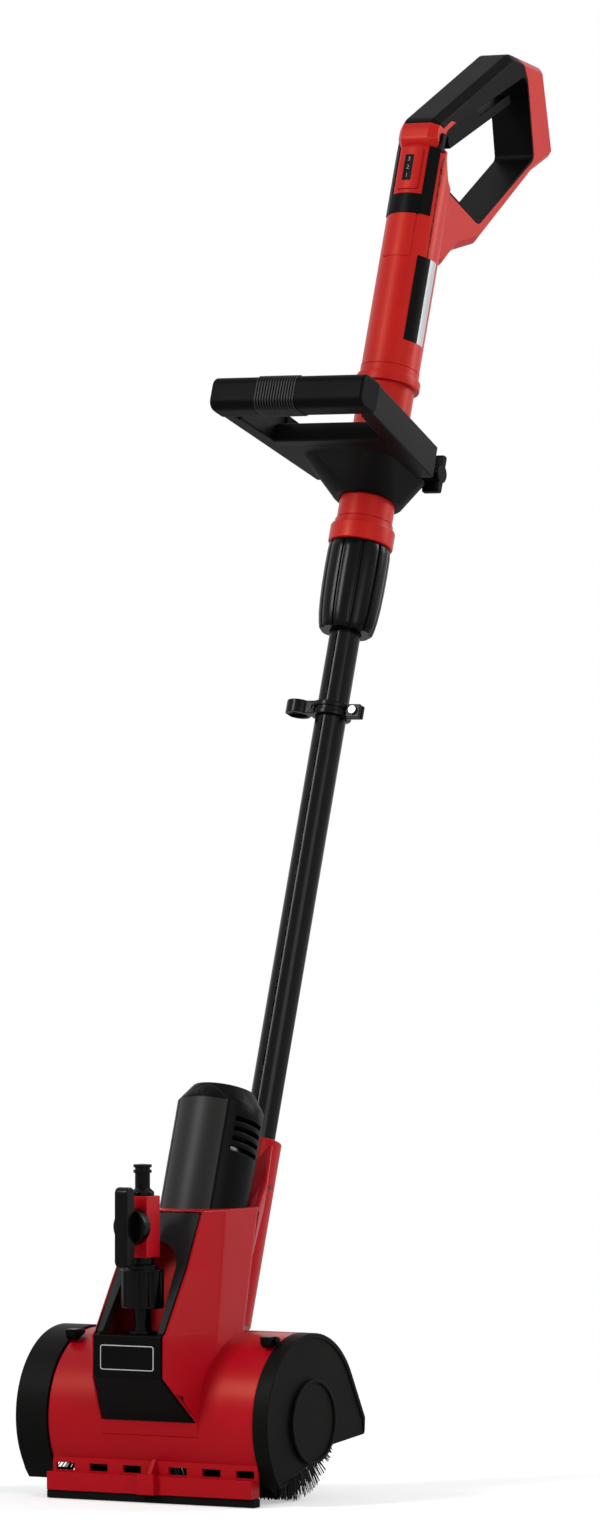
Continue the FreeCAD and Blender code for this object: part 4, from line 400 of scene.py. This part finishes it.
digitInk = mouldedPlastic("paleDigits", {
    "colour": colour(0.3, 0.3, 0.29), "shade": colour(0.24, 0.24, 0.23), "depth": 0.01,
    "worn": colour(0.4, 0.4, 0.38), "wear": 0.15, "rough": 0.45, "gloss": 0.2, "grain": 2000})
print("plastic finishes made")


# Pole paint: faint streaks along the pole, and slow bands of gloss

def paintedPole(name, look):
    finish = Finish(name, {"Specular IOR Level": look["gloss"]})
    turn = (-math.radians(leanAngle), 0, 0)
    streaks = finish.noise(finish.place(look["streaks"], turn), 1, 4, 0.6)
    peel = finish.noise(finish.place(), look["peel"], 2)
    bands = finish.noise(finish.place(look["bands"], turn), 3, 3)
    base = finish.mixed(finish.ramp(streaks, 0.35, 0.7), look["colour"], look["shade"])
    rough = look["rough"] + (streaks - 0.5) * look["streakGloss"] + (bands - 0.5) * look["bandGloss"]
    finish.feed(Base_Color=base, Roughness=rough, Normal=finish.bumped(peel, look["depth"]))
    return finish


poleGloss = paintedPole("blackPolePaint", {
    "colour": colour(0.0012, 0.0012, 0.0014), "shade": colour(0.002, 0.002, 0.0023), "rough": 0.2,
    "gloss": 0.12, "streaks": (220, 220, 3), "streakGloss": 0.14, "bands": (2, 2, 26), "bandGloss": 0.1,
    "peel": 420, "depth": 0.012})


# Metal: brushed one way, with soft stains

def metal(name, look):
    finish = Finish(name, {"Metallic": look["metallic"]})
    brushed = finish.noise(finish.place(look["grain"]), 12, 4, 0.65)
    stains = finish.noise(finish.place(), 60, 3)
    base = finish.mixed(finish.ramp(stains, 0.35, 0.75), look["colour"], look["shade"])
    finish.feed(Base_Color=base, Roughness=look["rough"] + (brushed - 0.5) * 0.25,
                Normal=finish.bumped(brushed, 0.01))
    return finish


steelMetal = metal("turnedSteel", {
    "colour": colour(0.5, 0.51, 0.53), "shade": colour(0.4, 0.41, 0.43), "rough": 0.32, "metallic": 1.0,
    "grain": (4, 90, 90)})
brassMetal = metal("turnedBrass", {
    "colour": colour(0.62, 0.42, 0.16), "shade": colour(0.52, 0.34, 0.12), "rough": 0.28, "metallic": 1.0,
    "grain": (90, 4, 90)})
magnetIron = metal("darkFerrite", {
    "colour": colour(0.05, 0.05, 0.055), "shade": colour(0.03, 0.03, 0.033), "rough": 0.6, "metallic": 0.3,
    "grain": (60, 60, 60)})


# Bristle nylon: each hair a little lighter or darker, with some dust

def bristleFibre(name, look):
    finish = Finish(name, {"Specular IOR Level": look["gloss"]})
    where = finish.place()
    strands = finish.noise(where, look["strands"], 2)
    dust = finish.noise(where, look["dust"], 4)
    base = finish.mixed(finish.ramp(strands, 0.3, 0.7), look["colour"], look["shade"])
    base = finish.mixed(finish.ramp(dust, 0.55, 0.8) * look["dustShare"], base, look["dusty"])
    finish.feed(Base_Color=base, Roughness=look["rough"] + (strands - 0.5) * 0.3,
                Normal=finish.bumped(strands, look["depth"]))
    return finish


bristleNylon = bristleFibre("bristleNylon", {
    "colour": colour(0.003, 0.003, 0.003), "shade": colour(0.009, 0.0085, 0.008), "rough": 0.5,
    "gloss": 0.1, "strands": 900, "dust": 55, "dustShare": 0.3, "dusty": colour(0.03, 0.027, 0.024),
    "depth": 0.05})

slotFinish = {
    "red_plastic": redPlastic, "black_plastic": blackPlastic, "soft_black": gripPlastic,
    "pole_black": poleGloss, "black_rubber": stripRubber, "bristle": bristleNylon,
    "steel": steelMetal, "brass": brassMetal, "magnet": magnetIron,
}
for nodeName, node in frame["nodes"].items():
    node.data.materials.clear()
    node.data.materials.append(slotFinish[slotOf[nodeName]].material)
frame["nodes"]["pole_bolt"].data.materials[0] = magnetIron.material  # a blackened bolt
print("finishes on every carried-over node")


# Brush head: mouldings with softened edges, which stay sharp below the heights given here

headMouldings = {
    "front_housing": (1.2, redPlastic), "rear_housing": (1.2, redPlastic), "bib_cover": (0.9, capPlastic),
    "left_hood": (1.2, hoodPlastic), "right_hood": (1.2, hoodPlastic), "front_strip": (1.2, stripRubber),
    "rear_flap": (0.7, stripRubber), "left_latch": (0.7, capPlastic), "right_latch": (0.7, capPlastic),
    "motor_cover_front": (1.2, motorPlastic), "motor_cover_rear": (1.2, capPlastic),
}
sparedBelow = {"front_housing": 36.0, "bib_cover": 100.0, "left_hood": 30.0, "right_hood": 30.0}
archLow = 159.0  # the bib is textured above this height
motorShoulder = 356.0  # and the motor's cover darker from here on along the pole
mouldings = {}
for nodeName, (width, finish) in headMouldings.items():
    lowest = sparedBelow.get(nodeName, 0)
    mouldings[nodeName] = softened(nodeName, width, finish, lambda middle: middle.z < lowest)
repainted(mouldings["bib_cover"], texturedPlastic, lambda middle: middle.z > archLow)
# painted shade: the top of the motor's front cover, from the shoulder on, takes the darker cap finish
repainted(mouldings["motor_cover_front"], capPlastic, lambda middle: inPole(middle * mm).z > motorShoulder)
print("head mouldings softened")


# Water connection, with the valve's red body on a black neck

waterPieces = {
    "water_inlet": (0.5, nozzlePlastic), "coupler_core": (0.5, nozzlePlastic),
    "coupler_collar": (0.8, nozzlePlastic), "valve_block": (1.2, redPlastic),
    "valve_knob": (1.8, nozzlePlastic), "hose_nipple": (0.5, nozzlePlastic),
}
neckTop = 227.5
for nodeName, (width, finish) in waterPieces.items():
    mouldings[nodeName] = softened(nodeName, width, finish)
repainted(mouldings["valve_block"], nozzlePlastic, lambda middle: middle.z < neckTop)
print("water connection softened")


# Pole and handles: the mould's seam at x = 0 stays sharp, and the second handle's frame is tilted

handlePieces = {
    "pole": (0.3, poleGloss), "hose_clip": (0.8, nozzlePlastic), "hose_clip_screw": (0.4, steelMetal),
    "left_handle_shell": (0.9, litHandleRed), "right_handle_shell": (0.9, litHandleRed),
    "soft_grip": (0.9, gripPlastic), "trigger": (1.2, gripPlastic), "speed_wheel": (0.3, capPlastic),
    "lock_off_button": (0.9, capPlastic), "aux_handle": (1.8, blackPlastic), "aux_bolt": (0.5, steelMetal),
    "aux_knob": (1.4, capPlastic), "terminal_block": (0.6, capPlastic),
}
seam = {"half": 0.05, "frameHalf": 2.5}
# each cut spans from and to across, backwards and along the pole
loop = {"cuts": [((-90, 90), (-190, -161), (970, 1080)), ((-69, 69), (-162, -144), (970, 1080)),
                 ((-59, 59), (-92.6, -77.9), (970, 1080)), ((-90, 90), (-165, -143), (1042, 1080))],
        "rise": 0.0535, "level": 43.0}


def tilted(piece):
    # the second handle's frame without its round bar and its cross bar, tilted as in the photograph
    piece.data.transform(poleFrame.inverted())
    for spans in loop["cuts"]:
        cutter = block("cutter", [last - first for first, last in spans], [sum(span) / 2 for span in spans])
        modify(piece, "BOOLEAN", {"operation": "DIFFERENCE", "object": cutter, "solver": "EXACT"})
        bpy.data.objects.remove(cutter)
    for vertex in piece.data.vertices:
        vertex.co.z += loop["rise"] * (loop["level"] * mm - vertex.co.y)
    piece.data.transform(poleFrame)


for nodeName, (width, finish) in handlePieces.items():
    isFrame = nodeName == "aux_handle"
    seamHalf = seam["frameHalf"] if isFrame else seam["half"]
    softened(nodeName, width, finish, lambda middle: abs(middle.x) < seamHalf, tilted if isFrame else None)
print("handle pieces softened")


# Grip tube, turned with its two rings and a fine groove above the lower one

gripTube = {"tube": 27.0, "bore": 24.0, "ring": 31.5, "spigot": 22.0, "spigotBore": 15.4, "low": 897.0,
            "ringLow": 941.0, "ringTop": 959.0, "topRing": 1103.0, "topRingTop": 1113.0, "end": 1121.0,
            "seam": 0.7, "step": 28.6, "stepHeight": 6.0, "boreLow": 965.0, "sides": 96}


def ringEdge(low, top):
    # a ring's outer face between two rounded edges
    ring = gripTube["ring"]
    return [(ring - 1.4, low), (ring - 0.4, low + 0.4), (ring, low + 1.4),
            (ring, top - 1.6), (ring - 0.5, top - 0.4), (ring - 1.6, top)]


def tubeProfile():
    # up the spigot, over both rings and back down the bore
    tube, bore, step = gripTube["tube"], gripTube["bore"], gripTube["step"]
    spigot, spigotBore = gripTube["spigot"], gripTube["spigotBore"]
    low, ringLow, ringTop = gripTube["low"], gripTube["ringLow"], gripTube["ringTop"]
    topRing, topRingTop, end = gripTube["topRing"], gripTube["topRingTop"], gripTube["end"]
    groove = ringTop + gripTube["stepHeight"]
    return ([(spigotBore, low), (spigot - 0.6, low), (spigot, low + 0.6), (spigot, ringLow)]
            + ringEdge(ringLow, ringTop)
            + [(step, ringTop), (step - 0.3, groove - 0.5), (step - 0.9, groove), (tube - 0.6, groove),
               (tube - 0.6, groove + gripTube["seam"]), (tube, groove + 0.4 + gripTube["seam"]),
               (tube, topRing - 0.2)]
            + ringEdge(topRing, topRingTop)
            + [(step + 0.3, topRingTop + 0.4), (step + 0.2, end - 0.5), (step - 0.5, end), (bore, end),
               (bore, gripTube["boreLow"]), (spigotBore, gripTube["boreLow"])])


tubePiece = lathe("grip_tube_turned", tubeProfile(), gripTube["sides"])
settle(tubePiece, poleFrame)
smoothed(tubePiece, 30)
dressed(tubePiece, litHandleRed, "upper", "red_plastic", "grip_tube")
print("grip tube turned")


# Twist sleeve: a barrel of rounded lobes with narrow grooves between them

twistSleeve = {"lobes": 10, "crown": 1.0, "groove": 1.5, "grooveShare": 0.9, "core": 23.3, "sides": 240,
               "profile": [(15.9, 853.0), (24.6, 853.0), (26.0, 854.4), (27.2, 859.0), (28.7, 868.0),
                           (29.8, 881.0), (30.5, 898.0), (30.7, 916.0), (30.5, 932.0), (29.9, 938.6),
                           (28.6, 940.6), (23.2, 940.6), (23.2, 862.0), (15.9, 859.0)]}
sleevePiece = lathe("twist_sleeve_lobed", twistSleeve["profile"], twistSleeve["sides"])
for vertex in sleevePiece.data.vertices:
    reach = math.hypot(vertex.co.x, vertex.co.y)
    if reach > twistSleeve["core"] * mm:
        turn = math.atan2(vertex.co.x, -vertex.co.y) / (2 * math.pi) * twistSleeve["lobes"]
        across = abs(2 * (turn - math.floor(turn)) - 1)  # 0 on a lobe's crown and 1 in the groove
        inward = twistSleeve["crown"] * across ** 2
        if across > twistSleeve["grooveShare"]:
            inward += twistSleeve["groove"]
        vertex.co.xy *= 1 - inward * mm / reach
settle(sleevePiece, poleFrame)
smoothed(sleevePiece, 40)
dressed(sleevePiece, nozzlePlastic, "twist", slotOf["twist_sleeve"], "twist_sleeve")
print("twist sleeve made")


# Rear handle: raised panel, black band and side stripes, the dial's bezel with its window and digits

housingRadius = 28.5


def wrappedPlate(name, look, corner, edge):
    # a flat plate bent round the housing at its look's angle, between its low and its high
    plate = flatPlate(name, (look["width"], look["high"] - look["low"], look["lift"]), corner, edge,
                      look["cuts"])
    wrapped(plate, housingRadius + look.get("out", 0), look["angle"], (look["low"] + look["high"]) / 2)
    smoothed(plate)
    return plate


frontPanel = {"width": math.radians(62) * housingRadius, "low": 1231.0, "high": 1276.0, "lift": 1.1,
              "angle": 0, "cuts": 15}
dressed(wrappedPlate("front_panel", frontPanel, 1.5, 0.7), litHandleRed, "upper", "red_plastic")

blackBand = {"width": math.radians(70) * housingRadius, "low": 1275.0, "high": 1296.0, "lift": 1.5,
             "angle": 0, "cuts": 17}
dressed(wrappedPlate("dial_band", blackBand, 1.0, 0.8), capPlastic, "upper", "soft_black")

sideStripe = {"width": 12.2, "low": 1276.0, "high": 1346.0, "lift": 0.9, "angle": 46.5, "cuts": 5}
for side, word in ((1, "right"), (-1, "left")):
    look = dict(sideStripe, angle=side * sideStripe["angle"])
    dressed(wrappedPlate(word + "_stripe", look, 0.8, 0.5), capPlastic, "upper", "soft_black")

dialBezel = {"width": 24.0, "low": 1300.0, "high": 1344.0, "lift": 2.2, "angle": 0, "cuts": 11}
dressed(wrappedPlate("dial_bezel", dialBezel, 3.0, 1.2), litHandleRed, "upper", "red_plastic")

dialWindow = {"width": 9.5, "low": 1308.5, "high": 1335.5, "lift": 0.3, "angle": 0, "cuts": 4,
              "out": dialBezel["lift"] - 0.1}
dressed(wrappedPlate("dial_window", dialWindow, 1.2, 0.1), capPlastic, "upper", "black_plastic")

dialDigits = {"size": 6.0, "pitch": 8.5, "lift": 2.35, "thick": 0.1, "middle": 1322.0}
for index, digit in enumerate("123"):
    bpy.ops.object.select_all(action="DESELECT")
    bpy.ops.object.text_add()
    sign = bpy.context.object
    sign.data.body = digit
    sign.data.size = dialDigits["size"] * mm
    sign.data.extrude = dialDigits["thick"] * mm
    sign.data.align_x = "CENTER"
    sign.data.align_y = "CENTER"
    bpy.ops.object.convert(target="MESH")
    sign = named("dial_digit_" + digit)
    for vertex in sign.data.vertices:
        vertex.co.z += dialDigits["lift"] * mm
    wrapped(sign, housingRadius, 0, dialDigits["middle"] + (index - 1) * dialDigits["pitch"])
    dressed(sign, digitInk, "upper", "black_plastic")
print("dial bezel, band and stripes set")


# Name label left bare, half black and half silver, and the seam under the housing

nameLabel = {"low": 1147.0, "high": 1234.0, "start": 47, "split": 78, "end": 100, "lift": 0.35, "cuts": 11}
for word, first, last, finish in (("label_black", nameLabel["start"], nameLabel["split"], capPlastic),
                                  ("label_silver", nameLabel["split"], nameLabel["end"], silverLabel)):
    look = dict(nameLabel, width=math.radians(last - first) * housingRadius, angle=(first + last) / 2)
    dressed(wrappedPlate(word, look, 0.8, 0.12), finish, "upper", "black_plastic")

housingSeam = {"inner": housingRadius - 0.5, "outer": housingRadius + 0.35,
               "inside": (1121.0, 1122.8), "outside": (1121.1, 1122.6), "sides": 72}
seamPiece = lathe("housing_seam", [(housingSeam["inner"], housingSeam["inside"][0]),
                                   (housingSeam["outer"], housingSeam["outside"][0]),
                                   (housingSeam["outer"], housingSeam["outside"][1]),
                                   (housingSeam["inner"], housingSeam["inside"][1])], housingSeam["sides"])
settle(seamPiece, poleFrame)
smoothed(seamPiece)
dressed(seamPiece, litHandleRed, "upper", "red_plastic")
print("label and housing seam set")


# Badge on the black plate, a bare panel in a thin pale frame

badge = {"width": 58.0, "height": 23.0, "y": -45.0, "z": 136.5, "frame": 0.7, "lift": 0.5, "sunk": 0.25,
         "faceLift": 0.4}
badgeTurn = Matrix.Translation((0, badge["y"] * mm, badge["z"] * mm)) @ Matrix.Rotation(math.pi / 2, 4, "X")
rim = flatPlate("badge_frame", (badge["width"], badge["height"], badge["lift"]), 2.5, 0.12)
startEdit(rim)
choose(rim, "faces", lambda middle, normal: normal.z > 0.99 and middle.z > 0.9 * badge["lift"] * mm)
bpy.ops.mesh.inset(thickness=badge["frame"] * mm)
bpy.ops.mesh.extrude_region_move(TRANSFORM_OT_translate={"value": (0, 0, -badge["sunk"] * mm)})
endEdit()
settle(rim, badgeTurn)
smoothed(rim)
dressed(rim, silverLabel, "head", "black_plastic")
face = flatPlate("badge_face", (badge["width"] - 2 * badge["frame"], badge["height"] - 2 * badge["frame"],
                                badge["faceLift"]), 2.0, 0.1)
settle(face, badgeTurn)
smoothed(face)
dressed(face, capPlastic, "head", "black_plastic")
print("badge set")


# Second handle: its rounded grip bar, its level cross bar and the fine ribs round the grip

grip = {"b": -161.0, "a": 1036.0, "half": 16.6, "end": 84.4, "corner": 9.5, "edge": 3.0}
crossBar = {"half": 59.6, "front": -92.0, "rear": -77.4, "low": 1016.3, "high": 1035.0, "edge": 1.8}
gripRibs = {"count": 15, "first": -33.0, "pitch": 3.0, "width": 1.7, "proud": 0.8, "edge": 0.4}


def gripSlab(name, length, half, x, ends):
    # a bar along x with a rounded square section and rounded ends
    slab = block(name, (length, 2 * half, 2 * half))
    settle(slab)
    startEdit(slab)
    choose(slab, "edges", lambda middle, way: abs(way.x) > 0.9)
    bpy.ops.mesh.bevel(offset=grip["corner"] * mm, segments=6, profile=0.5)
    choose(slab, "edges", lambda middle, way: abs(way.x) < 0.1)
    bpy.ops.mesh.bevel(offset=ends * mm, segments=3, profile=0.5)
    endEdit()
    settle(slab, poleFrame @ Matrix.Translation((x * mm, grip["b"] * mm, grip["a"] * mm)))
    return slab


gripBar = gripSlab("grip_bar", 2 * grip["end"], grip["half"], 0, grip["edge"])
smoothed(gripBar, 50)
dressed(gripBar, gripPlastic, "second_handle", "black_plastic")

barPiece = block("aux_cross_bar", (2 * crossBar["half"], crossBar["rear"] - crossBar["front"],
                                   crossBar["high"] - crossBar["low"]))
settle(barPiece)
startEdit(barPiece)
choose(barPiece, "edges", lambda middle, way: abs(way.x) > 0.9)
bpy.ops.mesh.bevel(offset=crossBar["edge"] * mm, segments=3, profile=0.5)
endEdit()
settle(barPiece, poleFrame @ Matrix.Translation((0, (crossBar["front"] + crossBar["rear"]) / 2 * mm,
                                                 (crossBar["low"] + crossBar["high"]) / 2 * mm)))
smoothed(barPiece, 50)
dressed(barPiece, blackPlastic, "second_handle", "black_plastic")

ribs = []
for index in range(gripRibs["count"]):
    x = gripRibs["first"] + index * gripRibs["pitch"]
    ribs.append(gripSlab("rib", gripRibs["width"], grip["half"] + gripRibs["proud"], x, gripRibs["edge"]))
ribPiece = joined("grip_ribs", ribs)
smoothed(ribPiece, 50)
# painted highlight: the ribs take the lighter grey-black motor plastic so they read as light lines
dressed(ribPiece, motorPlastic, "second_handle", "black_plastic")
print("grip bar, cross bar and ribs made")


# Brush: tufts of stiff bristles in rows round each half

brush = {"rows": 12, "around": 34, "root": 21.6, "tip": 74.6, "inner": 24.5, "outer": 109.5, "margin": 3.0,
         "twist": 7.0, "jitter": 3, "narrow": 0.35, "leanRight": 1.5, "leanLeft": -10.0,
         "bandBore": 21.05, "band": 22.4, "bandSides": 48}
# a tuft is a bundle of hairs that start close together and lean apart, each of its own length
tuftLook = {"kinds": 3, "hairs": 14, "shorter": (0.2, 3.0), "foot": 1.3, "spread": 6.0,
            "rootRadius": 0.88, "tipRadius": 0.495}
random.seed(7)
tufts = []
for kind in range(tuftLook["kinds"]):
    bristles = []
    for index in range(tuftLook["hairs"]):
        length = brush["tip"] - brush["root"] - random.uniform(*tuftLook["shorter"])
        bpy.ops.object.select_all(action="DESELECT")
        bpy.ops.mesh.primitive_cone_add(vertices=3, radius1=tuftLook["rootRadius"] * mm,
                                        radius2=tuftLook["tipRadius"] * mm, depth=length * mm,
                                        location=(0, 0, length / 2 * mm))
        bristle = named("bristle")
        settle(bristle)
        way = random.uniform(0, 2 * math.pi)
        lean = random.uniform(0.0, tuftLook["spread"] / length)
        foot = Matrix.Translation((tuftLook["foot"] * math.cos(way) * mm,
                                   tuftLook["foot"] * math.sin(way) * mm, brush["root"] * mm))
        settle(bristle, foot @ Matrix.Rotation(lean, 4, (-math.sin(way), math.cos(way), 0)))
        bristles.append(bristle)
    tufts.append(joined("tuft", bristles))

lastRow = brush["rows"] - 1
rowSpan = brush["outer"] - brush["inner"] - 2 * brush["margin"]
for side, word in ((1, "right"), (-1, "left")):
    copies = []
    for row in range(brush["rows"]):
        x = brush["inner"] + brush["margin"] + rowSpan * row / lastRow
        # the first and last rows are narrow, to clear the leg and the hood, and the last one leans
        across = brush["narrow"] if row in (0, lastRow) else 1.0
        ending = brush["leanRight"] if side > 0 else brush["leanLeft"]
        lean = math.radians(ending) if row == lastRow else 0.0
        for index in range(brush["around"]):
            jitter = random.uniform(-brush["jitter"], brush["jitter"])
            turn = math.radians(360 * index / brush["around"] + brush["twist"] * row + jitter)
            source = tufts[(row + index) % tuftLook["kinds"]]
            tuft = bpy.data.objects.new("tuft", source.data.copy())
            bpy.context.scene.collection.objects.link(tuft)
            tuft.data.transform(Matrix.Translation(brushAxis + Vector((side * x * mm, 0, 0)))
                                @ Matrix.Rotation(turn, 4, "X") @ Matrix.Rotation(lean, 4, "Y")
                                @ Matrix.Diagonal((across, 1.0, 1.0, 1.0))
                                @ Matrix.Rotation(random.uniform(0, 6), 4, "Z"))
            copies.append(tuft)
    band = lathe("band", [(brush["bandBore"], brush["inner"]), (brush["band"], brush["inner"]),
                          (brush["band"], brush["outer"]), (brush["bandBore"], brush["outer"])],
                 brush["bandSides"])
    settle(band, Matrix.Translation(brushAxis) @ Matrix.Rotation(side * math.pi / 2, 4, "Y"))
    whole = joined(word + "_brush_half", [band] + copies)
    settle(whole)
    dressed(whole, bristleNylon, "brush", "bristle", word + "_bristles")
for source in tufts:
    bpy.data.objects.remove(source)
print("bristles set in both halves")


# Pale floor that fades to white round the machine

floorLook = {"radius": 9.0, "sides": 96, "below": 0.5, "clear": 0.3, "white": 0.85, "glow": 0.42,
             "tone": colour(0.78, 0.78, 0.78), "speckle": colour(0.82, 0.82, 0.81)}
bpy.ops.object.select_all(action="DESELECT")
bpy.ops.mesh.primitive_circle_add(vertices=floorLook["sides"], radius=floorLook["radius"],
                                  fill_type="NGON", location=(0, 0, -floorLook["below"] * mm))
floor = named("floor")
settle(floor)
paleFloor = Finish("paleFloor")
where = paleFloor.node("ShaderNodeTexCoord", output="Object")
distance = paleFloor.node("ShaderNodeVectorMath", {"operation": "LENGTH"}, {0: where}, "Value")
tone = paleFloor.mixed(paleFloor.noise(where, 30, 3), floorLook["tone"], floorLook["speckle"])
plain = paleFloor.node("ShaderNodeBsdfDiffuse", {}, {"Color": tone})
glow = paleFloor.node("ShaderNodeEmission", {}, {"Color": white, "Strength": floorLook["glow"]})
lit = paleFloor.node("ShaderNodeAddShader", {}, {0: plain, 1: glow})
bare = paleFloor.node("ShaderNodeEmission", {}, {"Color": white, "Strength": 1.0})
fade = paleFloor.ramp(distance, floorLook["clear"], floorLook["white"])
seen = paleFloor.node("ShaderNodeMixShader", {}, {0: fade, 1: lit, 2: bare})
cameraRay = paleFloor.node("ShaderNodeLightPath", output="Is Camera Ray")
paleFloor.showAs("Material Output", paleFloor.node("ShaderNodeMixShader", {}, {0: cameraRay, 1: plain,
                                                                             2: seen}))
floor.data.materials.append(paleFloor.material)


# White surroundings: plain white to the camera, in gloss and through glass, and dimmer as light

surroundings = {"tint": colour(0.94, 0.97, 1.0), "power": 0.36, "backdrop": 1.0}
world = bpy.data.worlds.new("studio")
bpy.context.scene.world = world
world.use_nodes = True
studio = Shading(world.node_tree)
studio.tree.nodes.remove(studio.tree.nodes["Background"])
ambient = studio.node("ShaderNodeBackground", {}, {"Color": surroundings["tint"],
                                                   "Strength": surroundings["power"]})
backdrop = studio.node("ShaderNodeBackground", {}, {"Color": white, "Strength": surroundings["backdrop"]})
direct, glossy, through = [studio.node("ShaderNodeLightPath", output=kind)
                           for kind in ("Is Camera Ray", "Is Glossy Ray", "Is Transmission Ray")]
anyOf = studio.node("ShaderNodeMath", {"operation": "ADD", "use_clamp": True},
                    {0: direct + glossy, 1: through})
studio.showAs("World Output", studio.node("ShaderNodeMixShader", {}, {0: anyOf, 1: ambient, 2: backdrop}))


# Three soft lamps that face the machine, and the camera

lampTable = {
    "keyLamp": {"place": (-1.7, -2.9, 2.9), "size": (0.9, 1.4), "power": 92},
    "fillLamp": {"place": (2.9, -1.6, 1.5), "size": (1.6, 1.8), "power": 30},
    "rimLamp": {"place": (2.2, 2.4, 2.2), "size": (0.8, 1.8), "power": 55},
}
lookAt = Vector((0, 0.28, 0.65))
for name, lamp in lampTable.items():
    light = bpy.data.lights.new(name, "AREA")
    light.shape = "RECTANGLE"
    light.size, light.size_y = lamp["size"]
    light.energy = lamp["power"]
    holder = bpy.data.objects.new(name, light)
    bpy.context.scene.collection.objects.link(holder)
    holder.location = lamp["place"]
    holder.rotation_euler = (lookAt - Vector(lamp["place"])).to_track_quat("-Z", "Y").to_euler()

cameraLook = {"place": (4.237, -6.787, 0.687), "turn": 31, "lens": 204.5, "sensor": 36, "reach": 60}
cameraData = bpy.data.cameras.new("camera")
cameraData.sensor_fit = "VERTICAL"
cameraData.sensor_height = cameraLook["sensor"]
cameraData.lens = cameraLook["lens"]
cameraData.clip_end = cameraLook["reach"]
camera = bpy.data.objects.new("camera", cameraData)
bpy.context.scene.collection.objects.link(camera)
camera.location = cameraLook["place"]
camera.rotation_euler = (math.pi / 2, 0, math.radians(cameraLook["turn"]))
bpy.context.scene.camera = camera
bpy.context.scene.view_settings.view_transform = "Standard"
print("floor, surroundings, lamps and camera set")
